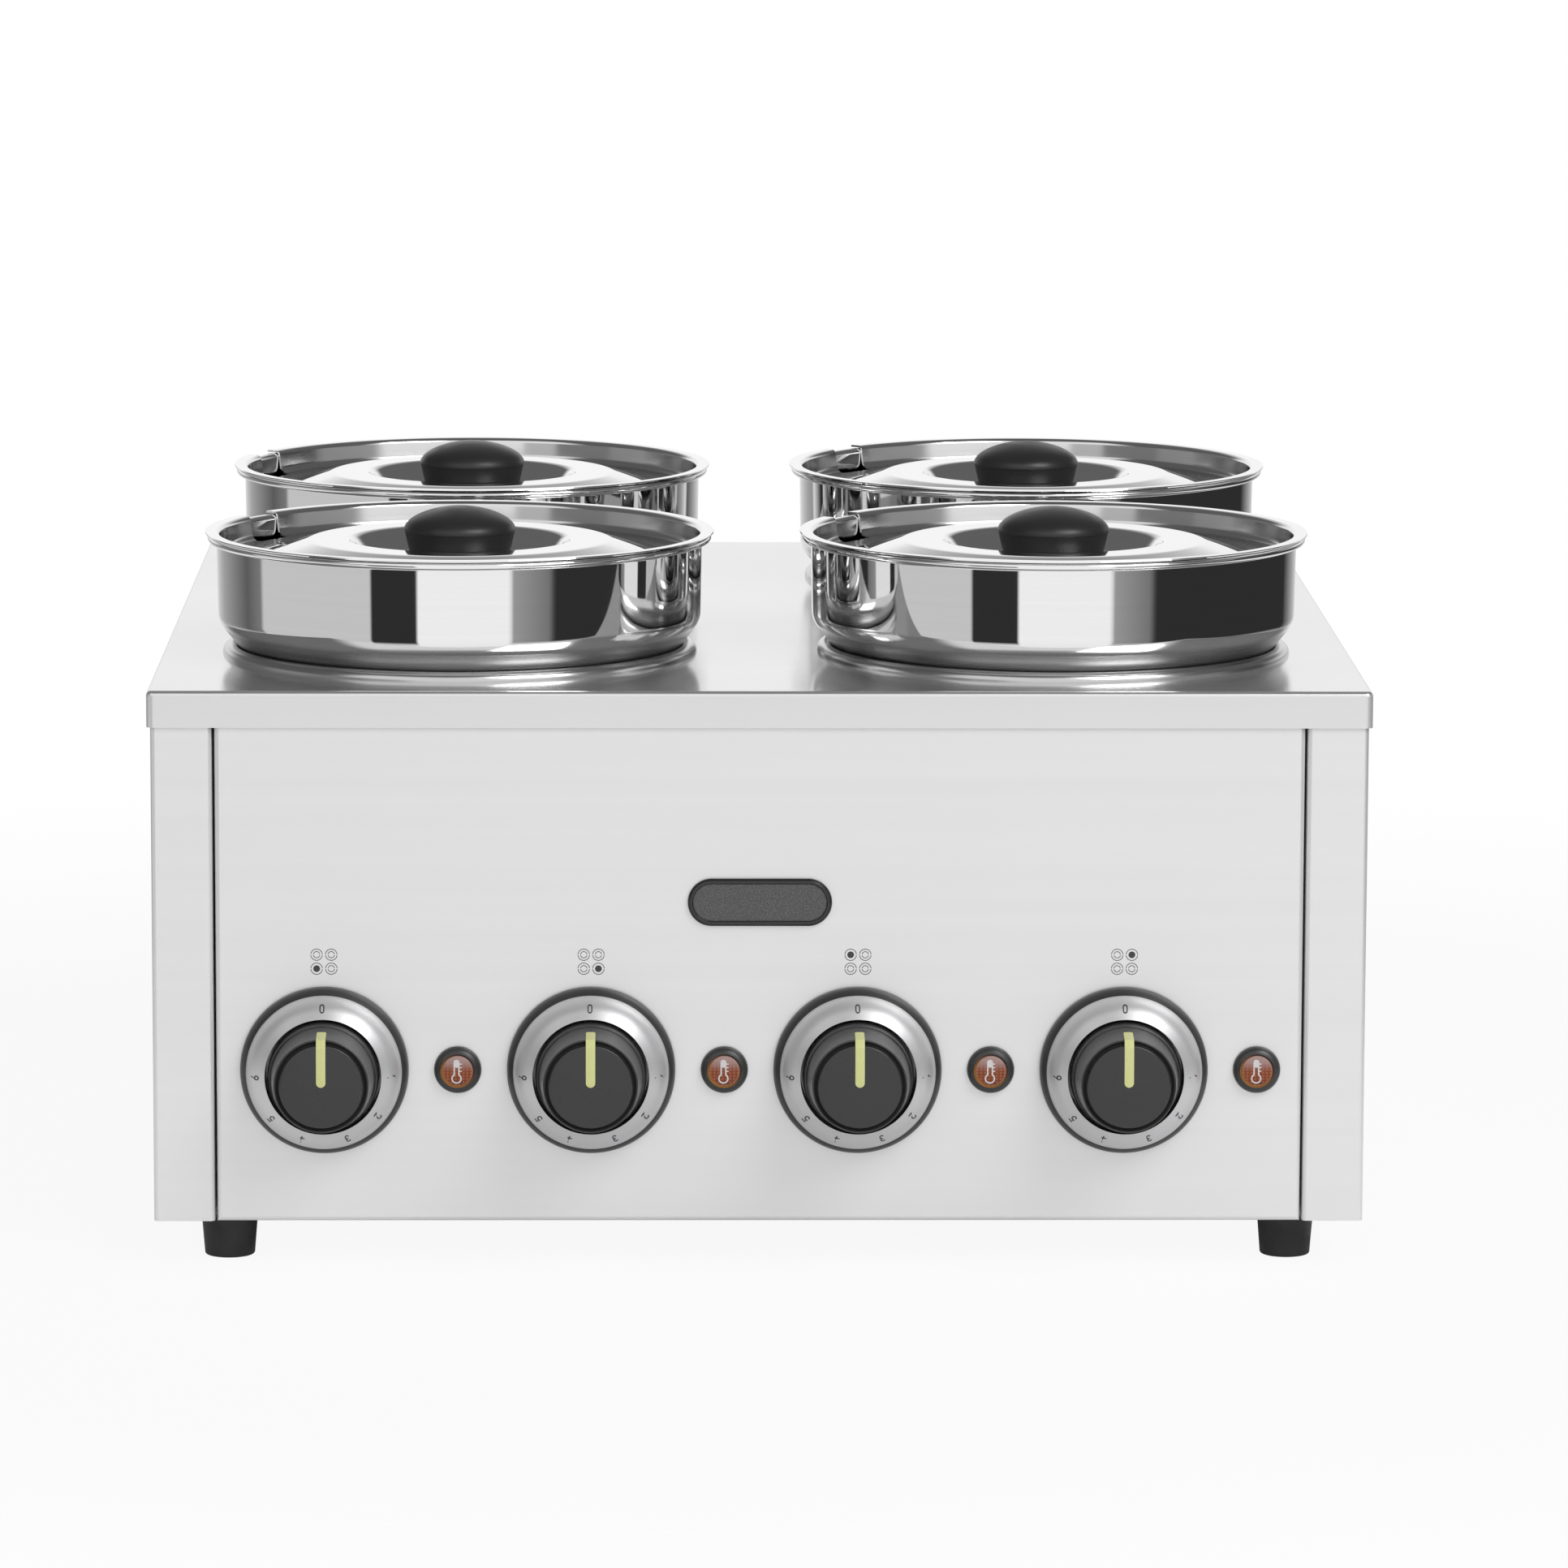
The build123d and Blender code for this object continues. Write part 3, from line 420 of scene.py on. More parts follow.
def add_piece(
    name: str,
    grids: list[Grid],
    material: bpy.types.Material,
    body: str,
    slot: str,
    *nodes: str,
    sharp: float = SHARP,
) -> None:
    """Makes a piece that rides on a body, hides the nodes that it stands for, and reports it.

    Args:
        name: Name of the object.
        grids: Surfaces in the frame's axes, in millimetres.
        material: Finish of the whole piece.
        body: Body of the frame that carries it.
        slot: Material slot of the record; not used.
        nodes: Nodes of the frame that it stands for.
        sharp: Angle in degrees from which an edge stays sharp.
    """
    piece = make_piece(name, grids, material, sharp)
    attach(piece, body)
    if nodes:
        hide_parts(*nodes)
    log.info("%s rides on %s, %d faces", piece.name, body, len(piece.data.polygons))


class Wiring:
    """Shorthand for making and joining the nodes of one shader tree."""

    def __init__(self, tree: bpy.types.NodeTree) -> None:
        """Keeps the tree that the nodes go into."""
        self.tree = tree

    def add(self, kind: str, **settings: object) -> bpy.types.Node:
        """Makes a node.

        Args:
            kind: Blender's name of the node's type.
            settings: Properties of the node, by name.

        Returns:
            The new node.
        """
        node = self.tree.nodes.new(kind)
        for name, value in settings.items():
            setattr(node, name, value)
        return node

    def fill(self, socket: bpy.types.NodeSocket, value: object) -> None:
        """Joins a socket to another or sets its value; a colour gets its fourth number.

        Args:
            socket: The input to fill.
            value: Another node's socket, or a number or numbers.
        """
        if isinstance(value, bpy.types.NodeSocket):
            self.tree.links.new(value, socket)
        elif socket.type == "RGBA":
            socket.default_value = (*value[:3], 1.0)
        else:
            socket.default_value = value

    def feed(self, node: bpy.types.Node, **inputs: object) -> bpy.types.Node:
        """Fills a node's inputs, named with _ for a space: a socket is joined and a value is set.

        Args:
            node: The node to fill.
            inputs: Sockets or values, by the input's name.

        Returns:
            The same node.
        """
        for name, value in inputs.items():
            self.fill(node.inputs[name.replace("_", " ")], value)
        return node

    def math(
        self, operation: str, first: object, second: object = 0.0, third: object = 0.0
    ) -> bpy.types.NodeSocket:
        """Arithmetic on up to three values.

        Args:
            operation: Blender's name of the operation.
            first: Socket or number.
            second: Socket or number.
            third: Socket or number.

        Returns:
            The result's socket.
        """
        node = self.add("ShaderNodeMath", operation=operation)
        for socket, value in zip(node.inputs, (first, second, third)):
            self.fill(socket, value)
        return node.outputs[0]

    def between(self, value: object, low: float, high: float) -> bpy.types.NodeSocket:
        """A value from 0 to 1, stretched to run from low to high."""
        node = self.add("ShaderNodeMapRange")
        return self.feed(node, Value=value, To_Min=low, To_Max=high).outputs[0]

    def step(self, value: object, low: float, high: float) -> bpy.types.NodeSocket:
        """Rises smoothly from 0 to 1 as the value goes from low to high."""
        node = self.add("ShaderNodeMapRange", interpolation_type="SMOOTHSTEP")
        return self.feed(node, Value=value, From_Min=low, From_Max=high).outputs[0]

    def blend(self, factor: object, first: object, second: object) -> bpy.types.NodeSocket:
        """Mixes two colours.

        Args:
            factor: Socket or number, 0 for the first colour and 1 for the second.
            first: Socket or colour.
            second: The same.

        Returns:
            The mixed colour's socket.
        """
        node = self.add("ShaderNodeMix", data_type="RGBA")
        share, start, end = node.inputs[0], node.inputs[6], node.inputs[7]
        for socket, value in ((share, factor), (start, first), (end, second)):
            self.fill(socket, value)
        return node.outputs[2]

    def ramp(self, value: object, stops: Stops) -> bpy.types.NodeSocket:
        """Greys by position.

        Args:
            value: Socket with the position, 0 to 1.
            stops: Positions and greys, in order.

        Returns:
            The colour's socket.
        """
        node = self.feed(self.add("ShaderNodeValToRGB"), Fac=value)
        elements = node.color_ramp.elements
        ends = [(elements[0], stops[0]), (elements[1], stops[-1])]
        for element, (position, shade) in ends:
            element.position = position
            element.color = (shade, shade, shade, 1.0)
        for position, shade in stops[1:-1]:
            elements.new(position).color = (shade, shade, shade, 1.0)
        return node.outputs[0]

    def group(self, shared: bpy.types.NodeTree, **inputs: object) -> bpy.types.Node:
        """Places a shared group and fills its inputs."""
        return self.feed(self.add("ShaderNodeGroup", node_tree=shared), **inputs)

    def place(self) -> bpy.types.NodeSocket:
        """Where a point lies on the object, in metres."""
        return self.add("ShaderNodeTexCoord").outputs["Object"]

    def pattern(self) -> bpy.types.NodeSocket:
        """The pattern coordinate that make_piece wrote on the mesh."""
        return self.add("ShaderNodeTexCoord").outputs["UV"]

    def mask(self) -> bpy.types.NodeSocket:
        """The mask that make_piece wrote on the mesh."""
        return self.add("ShaderNodeAttribute", attribute_name="mask").outputs["Fac"]

    def split(self, vector: bpy.types.NodeSocket) -> bpy.types.bpy_prop_collection:
        """A vector's parts, by the names X, Y and Z."""
        return self.feed(self.add("ShaderNodeSeparateXYZ"), Vector=vector).outputs

    def length(self, vector: bpy.types.NodeSocket) -> bpy.types.NodeSocket:
        """A vector's length."""
        node = self.add("ShaderNodeVectorMath", operation="LENGTH")
        return self.feed(node, Vector=vector).outputs["Value"]

    def along_profile(self, scale: float) -> bpy.types.NodeSocket:
        """Vector that grows with the distance along a turned piece's profile, for rings round it."""
        ring = self.math("MULTIPLY", self.split(self.pattern())["Y"], scale)
        return self.feed(self.add("ShaderNodeCombineXYZ"), Y=ring).outputs[0]

    def relief(self, height: object, strength: float, distance: float) -> bpy.types.NodeSocket:
        """Normal of a fine relief, whose distance is in metres."""
        node = self.add("ShaderNodeBump")
        return self.feed(node, Strength=strength, Distance=distance, Height=height).outputs[0]


def new_group(
    name: str, inputs: dict[str, str], outputs: dict[str, str]
) -> tuple[Wiring, Callable, Callable]:
    """Starts a shared node group.

    Args:
        name: Name of the group.
        inputs: Socket type of each input, by name.
        outputs: Socket type of each output, by name.

    Returns:
        The group's wiring, a function that gives an input's socket, and one that fills an output.
    """
    tree = bpy.data.node_groups.new(name, "ShaderNodeTree")
    for label, kind in inputs.items():
        tree.interface.new_socket(label, in_out="INPUT", socket_type=kind)
    for label, kind in outputs.items():
        tree.interface.new_socket(label, in_out="OUTPUT", socket_type=kind)
    wiring = Wiring(tree)
    source, sink = wiring.add("NodeGroupInput"), wiring.add("NodeGroupOutput")

    def take(label: str) -> bpy.types.NodeSocket:
        """Socket of one input."""
        return source.outputs[label]

    def give(label: str, socket: bpy.types.NodeSocket) -> None:
        """Fills one output."""
        tree.links.new(socket, sink.inputs[label])

    return wiring, take, give


@dataclass
class Effects:
    """Shader groups that several finishes share, each made once."""

    band_scale: float = 0.08
    pit_depth: float = 0.6
    mark_warp: float = 0.8
    mark_edge: tuple[float, float] = (0.38, 0.72)
    lines: bpy.types.NodeTree = field(init=False)
    moulding: bpy.types.NodeTree = field(init=False)
    handling: bpy.types.NodeTree = field(init=False)

    def __post_init__(self) -> None:
        """Builds the groups."""
        self.lines = self.brushed_lines()
        self.moulding = self.mould_texture()
        self.handling = self.handling_marks()

    def brushed_lines(self) -> bpy.types.NodeTree:
        """Fine lines: coarse and fine noise of a vector that the finish has stretched along the lines."""
        wiring, take, give = new_group(
            "brushed_lines",
            {"Vector": "NodeSocketVector"},
            {"Lines": "NodeSocketFloat", "Bands": "NodeSocketFloat"},
        )
        fine, broad = wiring.add("ShaderNodeTexNoise"), wiring.add("ShaderNodeTexNoise")
        wiring.feed(fine, Vector=take("Vector"), Scale=1.0, Detail=5.0, Roughness=0.7)
        wiring.feed(broad, Vector=take("Vector"), Scale=self.band_scale, Detail=2.0)
        give("Lines", fine.outputs["Fac"])
        give("Bands", broad.outputs["Fac"])
        return wiring.tree

    def mould_texture(self) -> bpy.types.NodeTree:
        """Spark-eroded mould texture: pits of a cell pattern over fine noise."""
        wiring, take, give = new_group(
            "mould_texture",
            {"Vector": "NodeSocketVector", "Cells": "NodeSocketFloat"},
            {"Height": "NodeSocketFloat", "Mottle": "NodeSocketFloat"},
        )
        cells, fine = wiring.add("ShaderNodeTexVoronoi"), wiring.add("ShaderNodeTexNoise")
        wiring.feed(cells, Vector=take("Vector"), Scale=take("Cells"))
        wiring.feed(fine, Vector=take("Vector"), Scale=take("Cells"), Detail=4.0)
        pits, mottle = cells.outputs["Distance"], fine.outputs["Fac"]
        give("Height", wiring.math("MULTIPLY_ADD", pits, self.pit_depth, mottle))
        give("Mottle", mottle)
        return wiring.tree

    def handling_marks(self) -> bpy.types.NodeTree:
        """Wiped and handled patches: broad noise warped by itself, from 0 where clean to 1."""
        wiring, take, give = new_group(
            "handling_marks",
            {"Vector": "NodeSocketVector", "Patches": "NodeSocketFloat"},
            {"Marks": "NodeSocketFloat"},
        )
        noise = wiring.feed(wiring.add("ShaderNodeTexNoise"), Vector=take("Vector"), Detail=3.0)
        wiring.feed(noise, Scale=take("Patches"), Distortion=self.mark_warp)
        give("Marks", wiring.step(noise.outputs["Fac"], *self.mark_edge))
        return wiring.tree


def grey(value: float) -> Colour:
    """A colour without a hue."""
    return (value, value, value)


def darker(colour: Colour, share: float) -> Colour:
    """A colour with a share of its brightness."""
    return tuple(channel * share for channel in colour)


def new_material(name: str) -> tuple[bpy.types.Material, Wiring, bpy.types.Node]:
    """Starts a material.

    Args:
        name: Name of the finish.

    Returns:
        The material, its wiring and its Principled BSDF.
    """
    material = bpy.data.materials.new(name)
    material.use_nodes = True
    wiring = Wiring(material.node_tree)
    return material, wiring, material.node_tree.nodes["Principled BSDF"]


@dataclass(frozen=True)
class BrushedSteel:
    """Stainless sheet with straight grain, stretched along one axis of the frame.

    Between the two heights of fold, in metres, its gloss changes to that of the skirt folded down below.
    """

    name: str
    dark: Colour
    pale: Colour
    roughness: tuple[float, float]
    grain: tuple[float, float, float]
    relief: float
    metallic: float = 1.0
    wiped: float = 0.03
    patches: float = 9.0
    fold: tuple[float, float] = (-1.0, -0.5)
    fold_roughness: tuple[float, float] = (0.28, 0.42)
    fold_metallic: float = 0.5

    def material(self, effects: Effects) -> bpy.types.Material:
        """Grain lines set colour, roughness and a faint relief, and broad marks vary the roughness.

        Args:
            effects: The shared groups.

        Returns:
            The finished material.
        """
        material, wiring, shader = new_material(self.name)
        place = wiring.place()
        stretched = wiring.feed(wiring.add("ShaderNodeMapping"), Vector=place, Scale=self.grain).outputs[0]
        lines = wiring.group(effects.lines, Vector=stretched)
        marks = wiring.group(effects.handling, Vector=place, Patches=self.patches)
        level = wiring.step(wiring.split(place)["Z"], *self.fold)
        top = wiring.between(lines.outputs["Lines"], *self.roughness)
        side = wiring.between(lines.outputs["Lines"], *self.fold_roughness)
        rough = wiring.math("MULTIPLY_ADD", level, wiring.math("SUBTRACT", top, side), side)
        wiring.feed(
            shader,
            Base_Color=wiring.blend(lines.outputs["Bands"], self.dark, self.pale),
            Metallic=wiring.between(level, self.fold_metallic, self.metallic),
            Roughness=wiring.math("MULTIPLY_ADD", marks.outputs["Marks"], self.wiped, rough),
            Normal=wiring.relief(lines.outputs["Lines"], self.relief, RELIEF),
        )
        return material


@dataclass(frozen=True)
class PolishedSteel:
    """Mirror-polished turned steel, with a satin stretch where the mesh's mask is 1."""

    name: str
    colour: Colour
    satin_colour: Colour
    mirror: float
    satin: float
    ring_scale: float
    handled: float = 0.018
    patches: float = 14.0
    satin_spread: float = 0.4
    band_shade: float = 0.93
    relief: float = 0.06
    mirror_relief: float = 0.02

    def material(self, effects: Effects) -> bpy.types.Material:
        """Fine rings follow the profile's length, and the mask blends mirror into satin.

        Args:
            effects: The shared groups.

        Returns:
            The finished material.
        """
        material, wiring, shader = new_material(self.name)
        mask = wiring.mask()
        rings = wiring.group(effects.lines, Vector=wiring.along_profile(self.ring_scale))
        marks = wiring.group(effects.handling, Vector=wiring.place(), Patches=self.patches)
        bright = wiring.math("MULTIPLY_ADD", marks.outputs["Marks"], self.handled, self.mirror)
        lowest, highest = (self.satin * (1 + share) for share in (-self.satin_spread, self.satin_spread))
        dull = wiring.between(rings.outputs["Lines"], lowest, highest)
        spread = wiring.math("SUBTRACT", dull, bright)
        depth = wiring.between(mask, self.mirror_relief, 1.0)
        height = wiring.math("MULTIPLY", rings.outputs["Lines"], depth)
        banded = darker(self.colour, self.band_shade)
        polished = wiring.blend(rings.outputs["Bands"], banded, self.colour)
        wiring.feed(
            shader,
            Base_Color=wiring.blend(mask, polished, self.satin_colour),
            Metallic=1.0,
            Roughness=wiring.math("MULTIPLY_ADD", mask, spread, bright),
            Normal=wiring.relief(height, self.relief, FINE_RELIEF),
        )
        return material


@dataclass(frozen=True)
class Moulded:
    """Moulded plastic, rubber or paint with a fine surface texture."""

    name: str
    colour: Colour
    worn: Colour
    roughness: tuple[float, float]
    cells: float
    relief: float
    metallic: float = 0.0
    patches: float = 40.0

    def material(self, effects: Effects) -> bpy.types.Material:
        """Mould texture gives relief and mottled colour, and handling marks vary the gloss.

        Args:
            effects: The shared groups.

        Returns:
            The finished material.
        """
        material, wiring, shader = new_material(self.name)
        place = wiring.place()
        texture = wiring.group(effects.moulding, Vector=place, Cells=self.cells)
        marks = wiring.group(effects.handling, Vector=place, Patches=self.patches)
        wiring.feed(
            shader,
            Base_Color=wiring.blend(texture.outputs["Mottle"], self.colour, self.worn),
            Metallic=self.metallic,
            Roughness=wiring.between(marks.outputs["Marks"], *self.roughness),
            Normal=wiring.relief(texture.outputs["Height"], self.relief, RELIEF),
        )
        return material


@dataclass(frozen=True)
class DialSilver:
    """Silvered dial sheet with fine grain round the dial."""

    name: str
    colour: Colour
    roughness: tuple[float, float]
    metallic: float = 0.6
    ring_scale: float = 9000.0
    cells: float = 2600.0
    mottle_shade: float = 0.9
    relief: float = 0.12

    def material(self, effects: Effects) -> bpy.types.Material:
        """Rings along the cone's slope set roughness and relief.

        Args:
            effects: The shared groups.

        Returns:
            The finished material.
        """
        material, wiring, shader = new_material(self.name)
        rings = wiring.group(effects.lines, Vector=wiring.along_profile(self.ring_scale))
        texture = wiring.group(effects.moulding, Vector=wiring.place(), Cells=self.cells)
        mottled = darker(self.colour, self.mottle_shade)
        wiring.feed(
            shader,
            Base_Color=wiring.blend(texture.outputs["Mottle"], mottled, self.colour),
            Metallic=self.metallic,
            Roughness=wiring.between(rings.outputs["Lines"], *self.roughness),
            Normal=wiring.relief(texture.outputs["Height"], self.relief, FINE_RELIEF),
        )
        return material


@dataclass(frozen=True)
class AmberLens:
    """Amber lamp lens: painted shade at the foot, painted top light at the top, a painted warm glow where the
    mask is 1, painted shade round its edge, with rows of prisms.

    Lengths are in metres on the lens's own plane, which the pattern coordinate holds.
    """

    name: str
    # painted shade at the lens's foot
    shaded_foot: Colour
    glow: Colour
    # painted top light on the lens
    painted_top_light: Colour
    # painted shade in the gap between lens and rim
    gap: Colour
    # painted glow of light through the lens, where the mask is 1
    painted_warm_light: Colour
    prism: Colour
    prism_pitch: tuple[float, float] = (0.0016, 0.00128)
    prism_edge: tuple[float, float] = (0.12, 0.34)
    prism_share: float = 0.4
    edge_share: float = 0.5
    # heights where painted shade at the foot gives way to amber, and amber to painted top light
    foot: tuple[float, float] = (-0.0062, -0.0026)
    top: tuple[float, float] = (-0.0005, 0.0052)
    edge: tuple[float, float] = (0.0057, 0.0061)
    # radii over which the painted gap shade covers the lens's edge
    outside: tuple[float, float] = (0.0062, 0.0064)
    patches: float = 260.0
    roughness: tuple[float, float] = (0.16, 0.28)
    shine: float = 0.3

    def material(self, effects: Effects) -> bpy.types.Material:
        """Height on the lens sets the colour, from painted shade at the foot to painted top light, a grid of
        soft dots makes the prisms, and a pale ring the edge.

        Args:
            effects: The shared groups.

        Returns:
            The finished material.
        """
        material, wiring, shader = new_material(self.name)
        pattern = wiring.pattern()
        split = wiring.split(pattern)
        squares = []
        for axis, pitch in zip("XY", self.prism_pitch):
            share = wiring.math("FRACT", wiring.math("MULTIPLY", split[axis], 1 / pitch))
            offset = wiring.math("ABSOLUTE", wiring.math("SUBTRACT", share, 0.5))
            squares.append(wiring.math("POWER", offset, 2.0))
        reach = wiring.math("SQRT", wiring.math("ADD", *squares))
        dots = wiring.math("SUBTRACT", 1.0, wiring.step(reach, *self.prism_edge))
        marks = wiring.group(effects.handling, Vector=wiring.place(), Patches=self.patches)
        radius = wiring.length(pattern)
        edge = wiring.math("MULTIPLY", wiring.step(radius, *self.edge), self.edge_share)
        # painted shade at the foot and painted top light, by height on the lens
        body = wiring.blend(wiring.step(split["Y"], *self.foot), self.shaded_foot, self.glow)
        body = wiring.blend(wiring.step(split["Y"], *self.top), body, self.painted_top_light)
        body = wiring.blend(wiring.math("MULTIPLY", dots, self.prism_share), body, self.prism)
        body = wiring.blend(edge, body, self.prism)
        # painted shade in the gap between lens and rim, outside the groove
        body = wiring.blend(wiring.step(radius, *self.outside), body, self.gap)
        wiring.feed(
            shader,
            # painted glow of light through the lens at lower left
            Base_Color=wiring.blend(wiring.mask(), body, self.painted_warm_light),
            Roughness=wiring.between(marks.outputs["Marks"], *self.roughness),
            Specular_IOR_Level=self.shine,
        )
        return material


@dataclass(frozen=True)
class BadgePlate:
    """Bare badge: a dark glossy rim where the mesh's mask is 1, and a paler speckled face."""

    name: str
    rim: Colour
    face: Colour
    speck: Colour
    cells: float
    specks: tuple[float, float] = (0.46, 0.6)
    roughness: tuple[float, float] = (0.5, 0.2)
    relief: float = 0.1

    def material(self, effects: Effects) -> bpy.types.Material:
        """Specks are the high spots of the mould texture, and the mask chooses between rim and face.

        Args:
            effects: The shared groups.

        Returns:
            The finished material.
        """
        material, wiring, shader = new_material(self.name)
        place = wiring.place()
        mask = wiring.mask()
        texture = wiring.group(effects.moulding, Vector=place, Cells=self.cells)
        face = wiring.blend(wiring.step(texture.outputs["Mottle"], *self.specks), self.face, self.speck)
        wiring.feed(
            shader,
            Base_Color=wiring.blend(mask, face, self.rim),
            Roughness=wiring.between(mask, *self.roughness),
            Normal=wiring.relief(texture.outputs["Height"], self.relief, RELIEF),
        )
        return material


@dataclass
class Finishes:
    """Every material by its slot in the record, the control knobs' black and the inks of the signs."""

    effects: Effects = field(default_factory=Effects)
    by_slot: dict[str, bpy.types.Material] = field(init=False)
    knob_black: bpy.types.Material = field(init=False)
    dark_ink: bpy.types.Material = field(init=False)
    faint_ink: bpy.types.Material = field(init=False)
    white_ink: bpy.types.Material = field(init=False)

    def __post_init__(self) -> None:
        """Makes the materials."""
        finishes = (
            BrushedSteel(
                "worktop_steel",
                dark=grey(0.76),
                pale=grey(0.81),
                roughness=(0.08, 0.16),
                grain=(14, 14, 900),
                relief=0.03,
                metallic=0.8,
                fold=(0.238, 0.2396),
            ),
            BrushedSteel(
                "panel_steel",
                dark=grey(0.81),
                pale=grey(0.86),
                roughness=(0.28, 0.42),
                grain=(14, 900, 1500),
                relief=0.1,
                metallic=0.5,
            ),
            PolishedSteel(
                "polished_steel",
                colour=grey(0.86),
                satin_colour=grey(0.50),
                mirror=0.025,
                satin=0.27,
                ring_scale=5200.0,
            ),
            # moulded finishes: colour, worn colour, roughness, mould cells in a metre and relief
            Moulded("black_gloss", grey(0.028), grey(0.042), (0.30, 0.40), 1600.0, 0.05),
            Moulded("black_satin", grey(0.016), grey(0.030), (0.32, 0.46), 2200.0, 0.16),
            Moulded("pointer_yellow", (0.66, 0.68, 0.25), (0.75, 0.76, 0.38), (0.38, 0.5), 900.0, 0.06),
            DialSilver("scale_silver", colour=(0.70, 0.70, 0.71), roughness=(0.34, 0.46)),
            AmberLens(
                "lens_amber",
                # painted shade at the lens's foot
                shaded_foot=(0.13, 0.022, 0.010),
                glow=(0.25, 0.052, 0.010),
                # painted top light on the lens
                painted_top_light=(0.40, 0.27, 0.25),
                # painted shade in the gap round the lens
                gap=(0.020, 0.007, 0.005),
                # painted glow of light through the lens
                painted_warm_light=(0.44, 0.17, 0.02),
                prism=(0.50, 0.32, 0.28),
            ),
            Moulded("rubber_black", grey(0.014), grey(0.026), (0.55, 0.75), 1400.0, 0.2),
            BadgePlate("badge_grey", rim=grey(0.02), face=grey(0.075), speck=grey(0.125), cells=1500.0),
            Moulded("zinc_steel", (0.52, 0.53, 0.55), grey(0.68), (0.28, 0.45), 700.0, 0.05, metallic=1.0),
            Moulded("element_metal", grey(0.50), grey(0.64), (0.4, 0.6), 500.0, 0.2, metallic=1.0),
            Moulded("moulding_cream", (0.66, 0.62, 0.5), (0.74, 0.70, 0.6), (0.4, 0.55), 900.0, 0.1),
            Moulded("wire_sleeve", (0.07, 0.07, 0.075), grey(0.12), (0.5, 0.65), 1500.0, 0.15),
        )
        self.by_slot = {finish.name: finish.material(self.effects) for finish in finishes}
        grip = Moulded("knob_black", grey(0.020), grey(0.034), (0.17, 0.27), 2200.0, 0.06)
        self.knob_black = grip.material(self.effects)
        self.dark_ink = self.ink("dark_ink", grey(0.035), grey(0.06))
        self.faint_ink = self.ink("faint_ink", grey(0.05), grey(0.08))
        self.white_ink = self.ink("white_ink", (0.66, 0.62, 0.62), (0.78, 0.74, 0.74))

    def ink(self, name: str, colour: Colour, worn: Colour) -> bpy.types.Material:
        """Printing ink, slightly uneven."""
        return Moulded(name, colour, worn, (0.4, 0.55), 1800.0, 0.03).material(self.effects)

    def dress(self, frame: dict) -> None:
        """Gives each node of the frame the material of its slot.
        """
        for part in frame["record"]["subparts"]:
            mesh = frame["nodes"][part["node"]].data
            mesh.materials.clear()
            mesh.materials.append(self.by_slot[part["material_slot"]])


def extent_of(node: str) -> tuple[Array, Array, Array]:
    """Lowest corner, middle and highest corner of a node, in millimetres."""
    low, high = (np.array(corner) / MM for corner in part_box(node))
    return low, (low + high) / 2, high


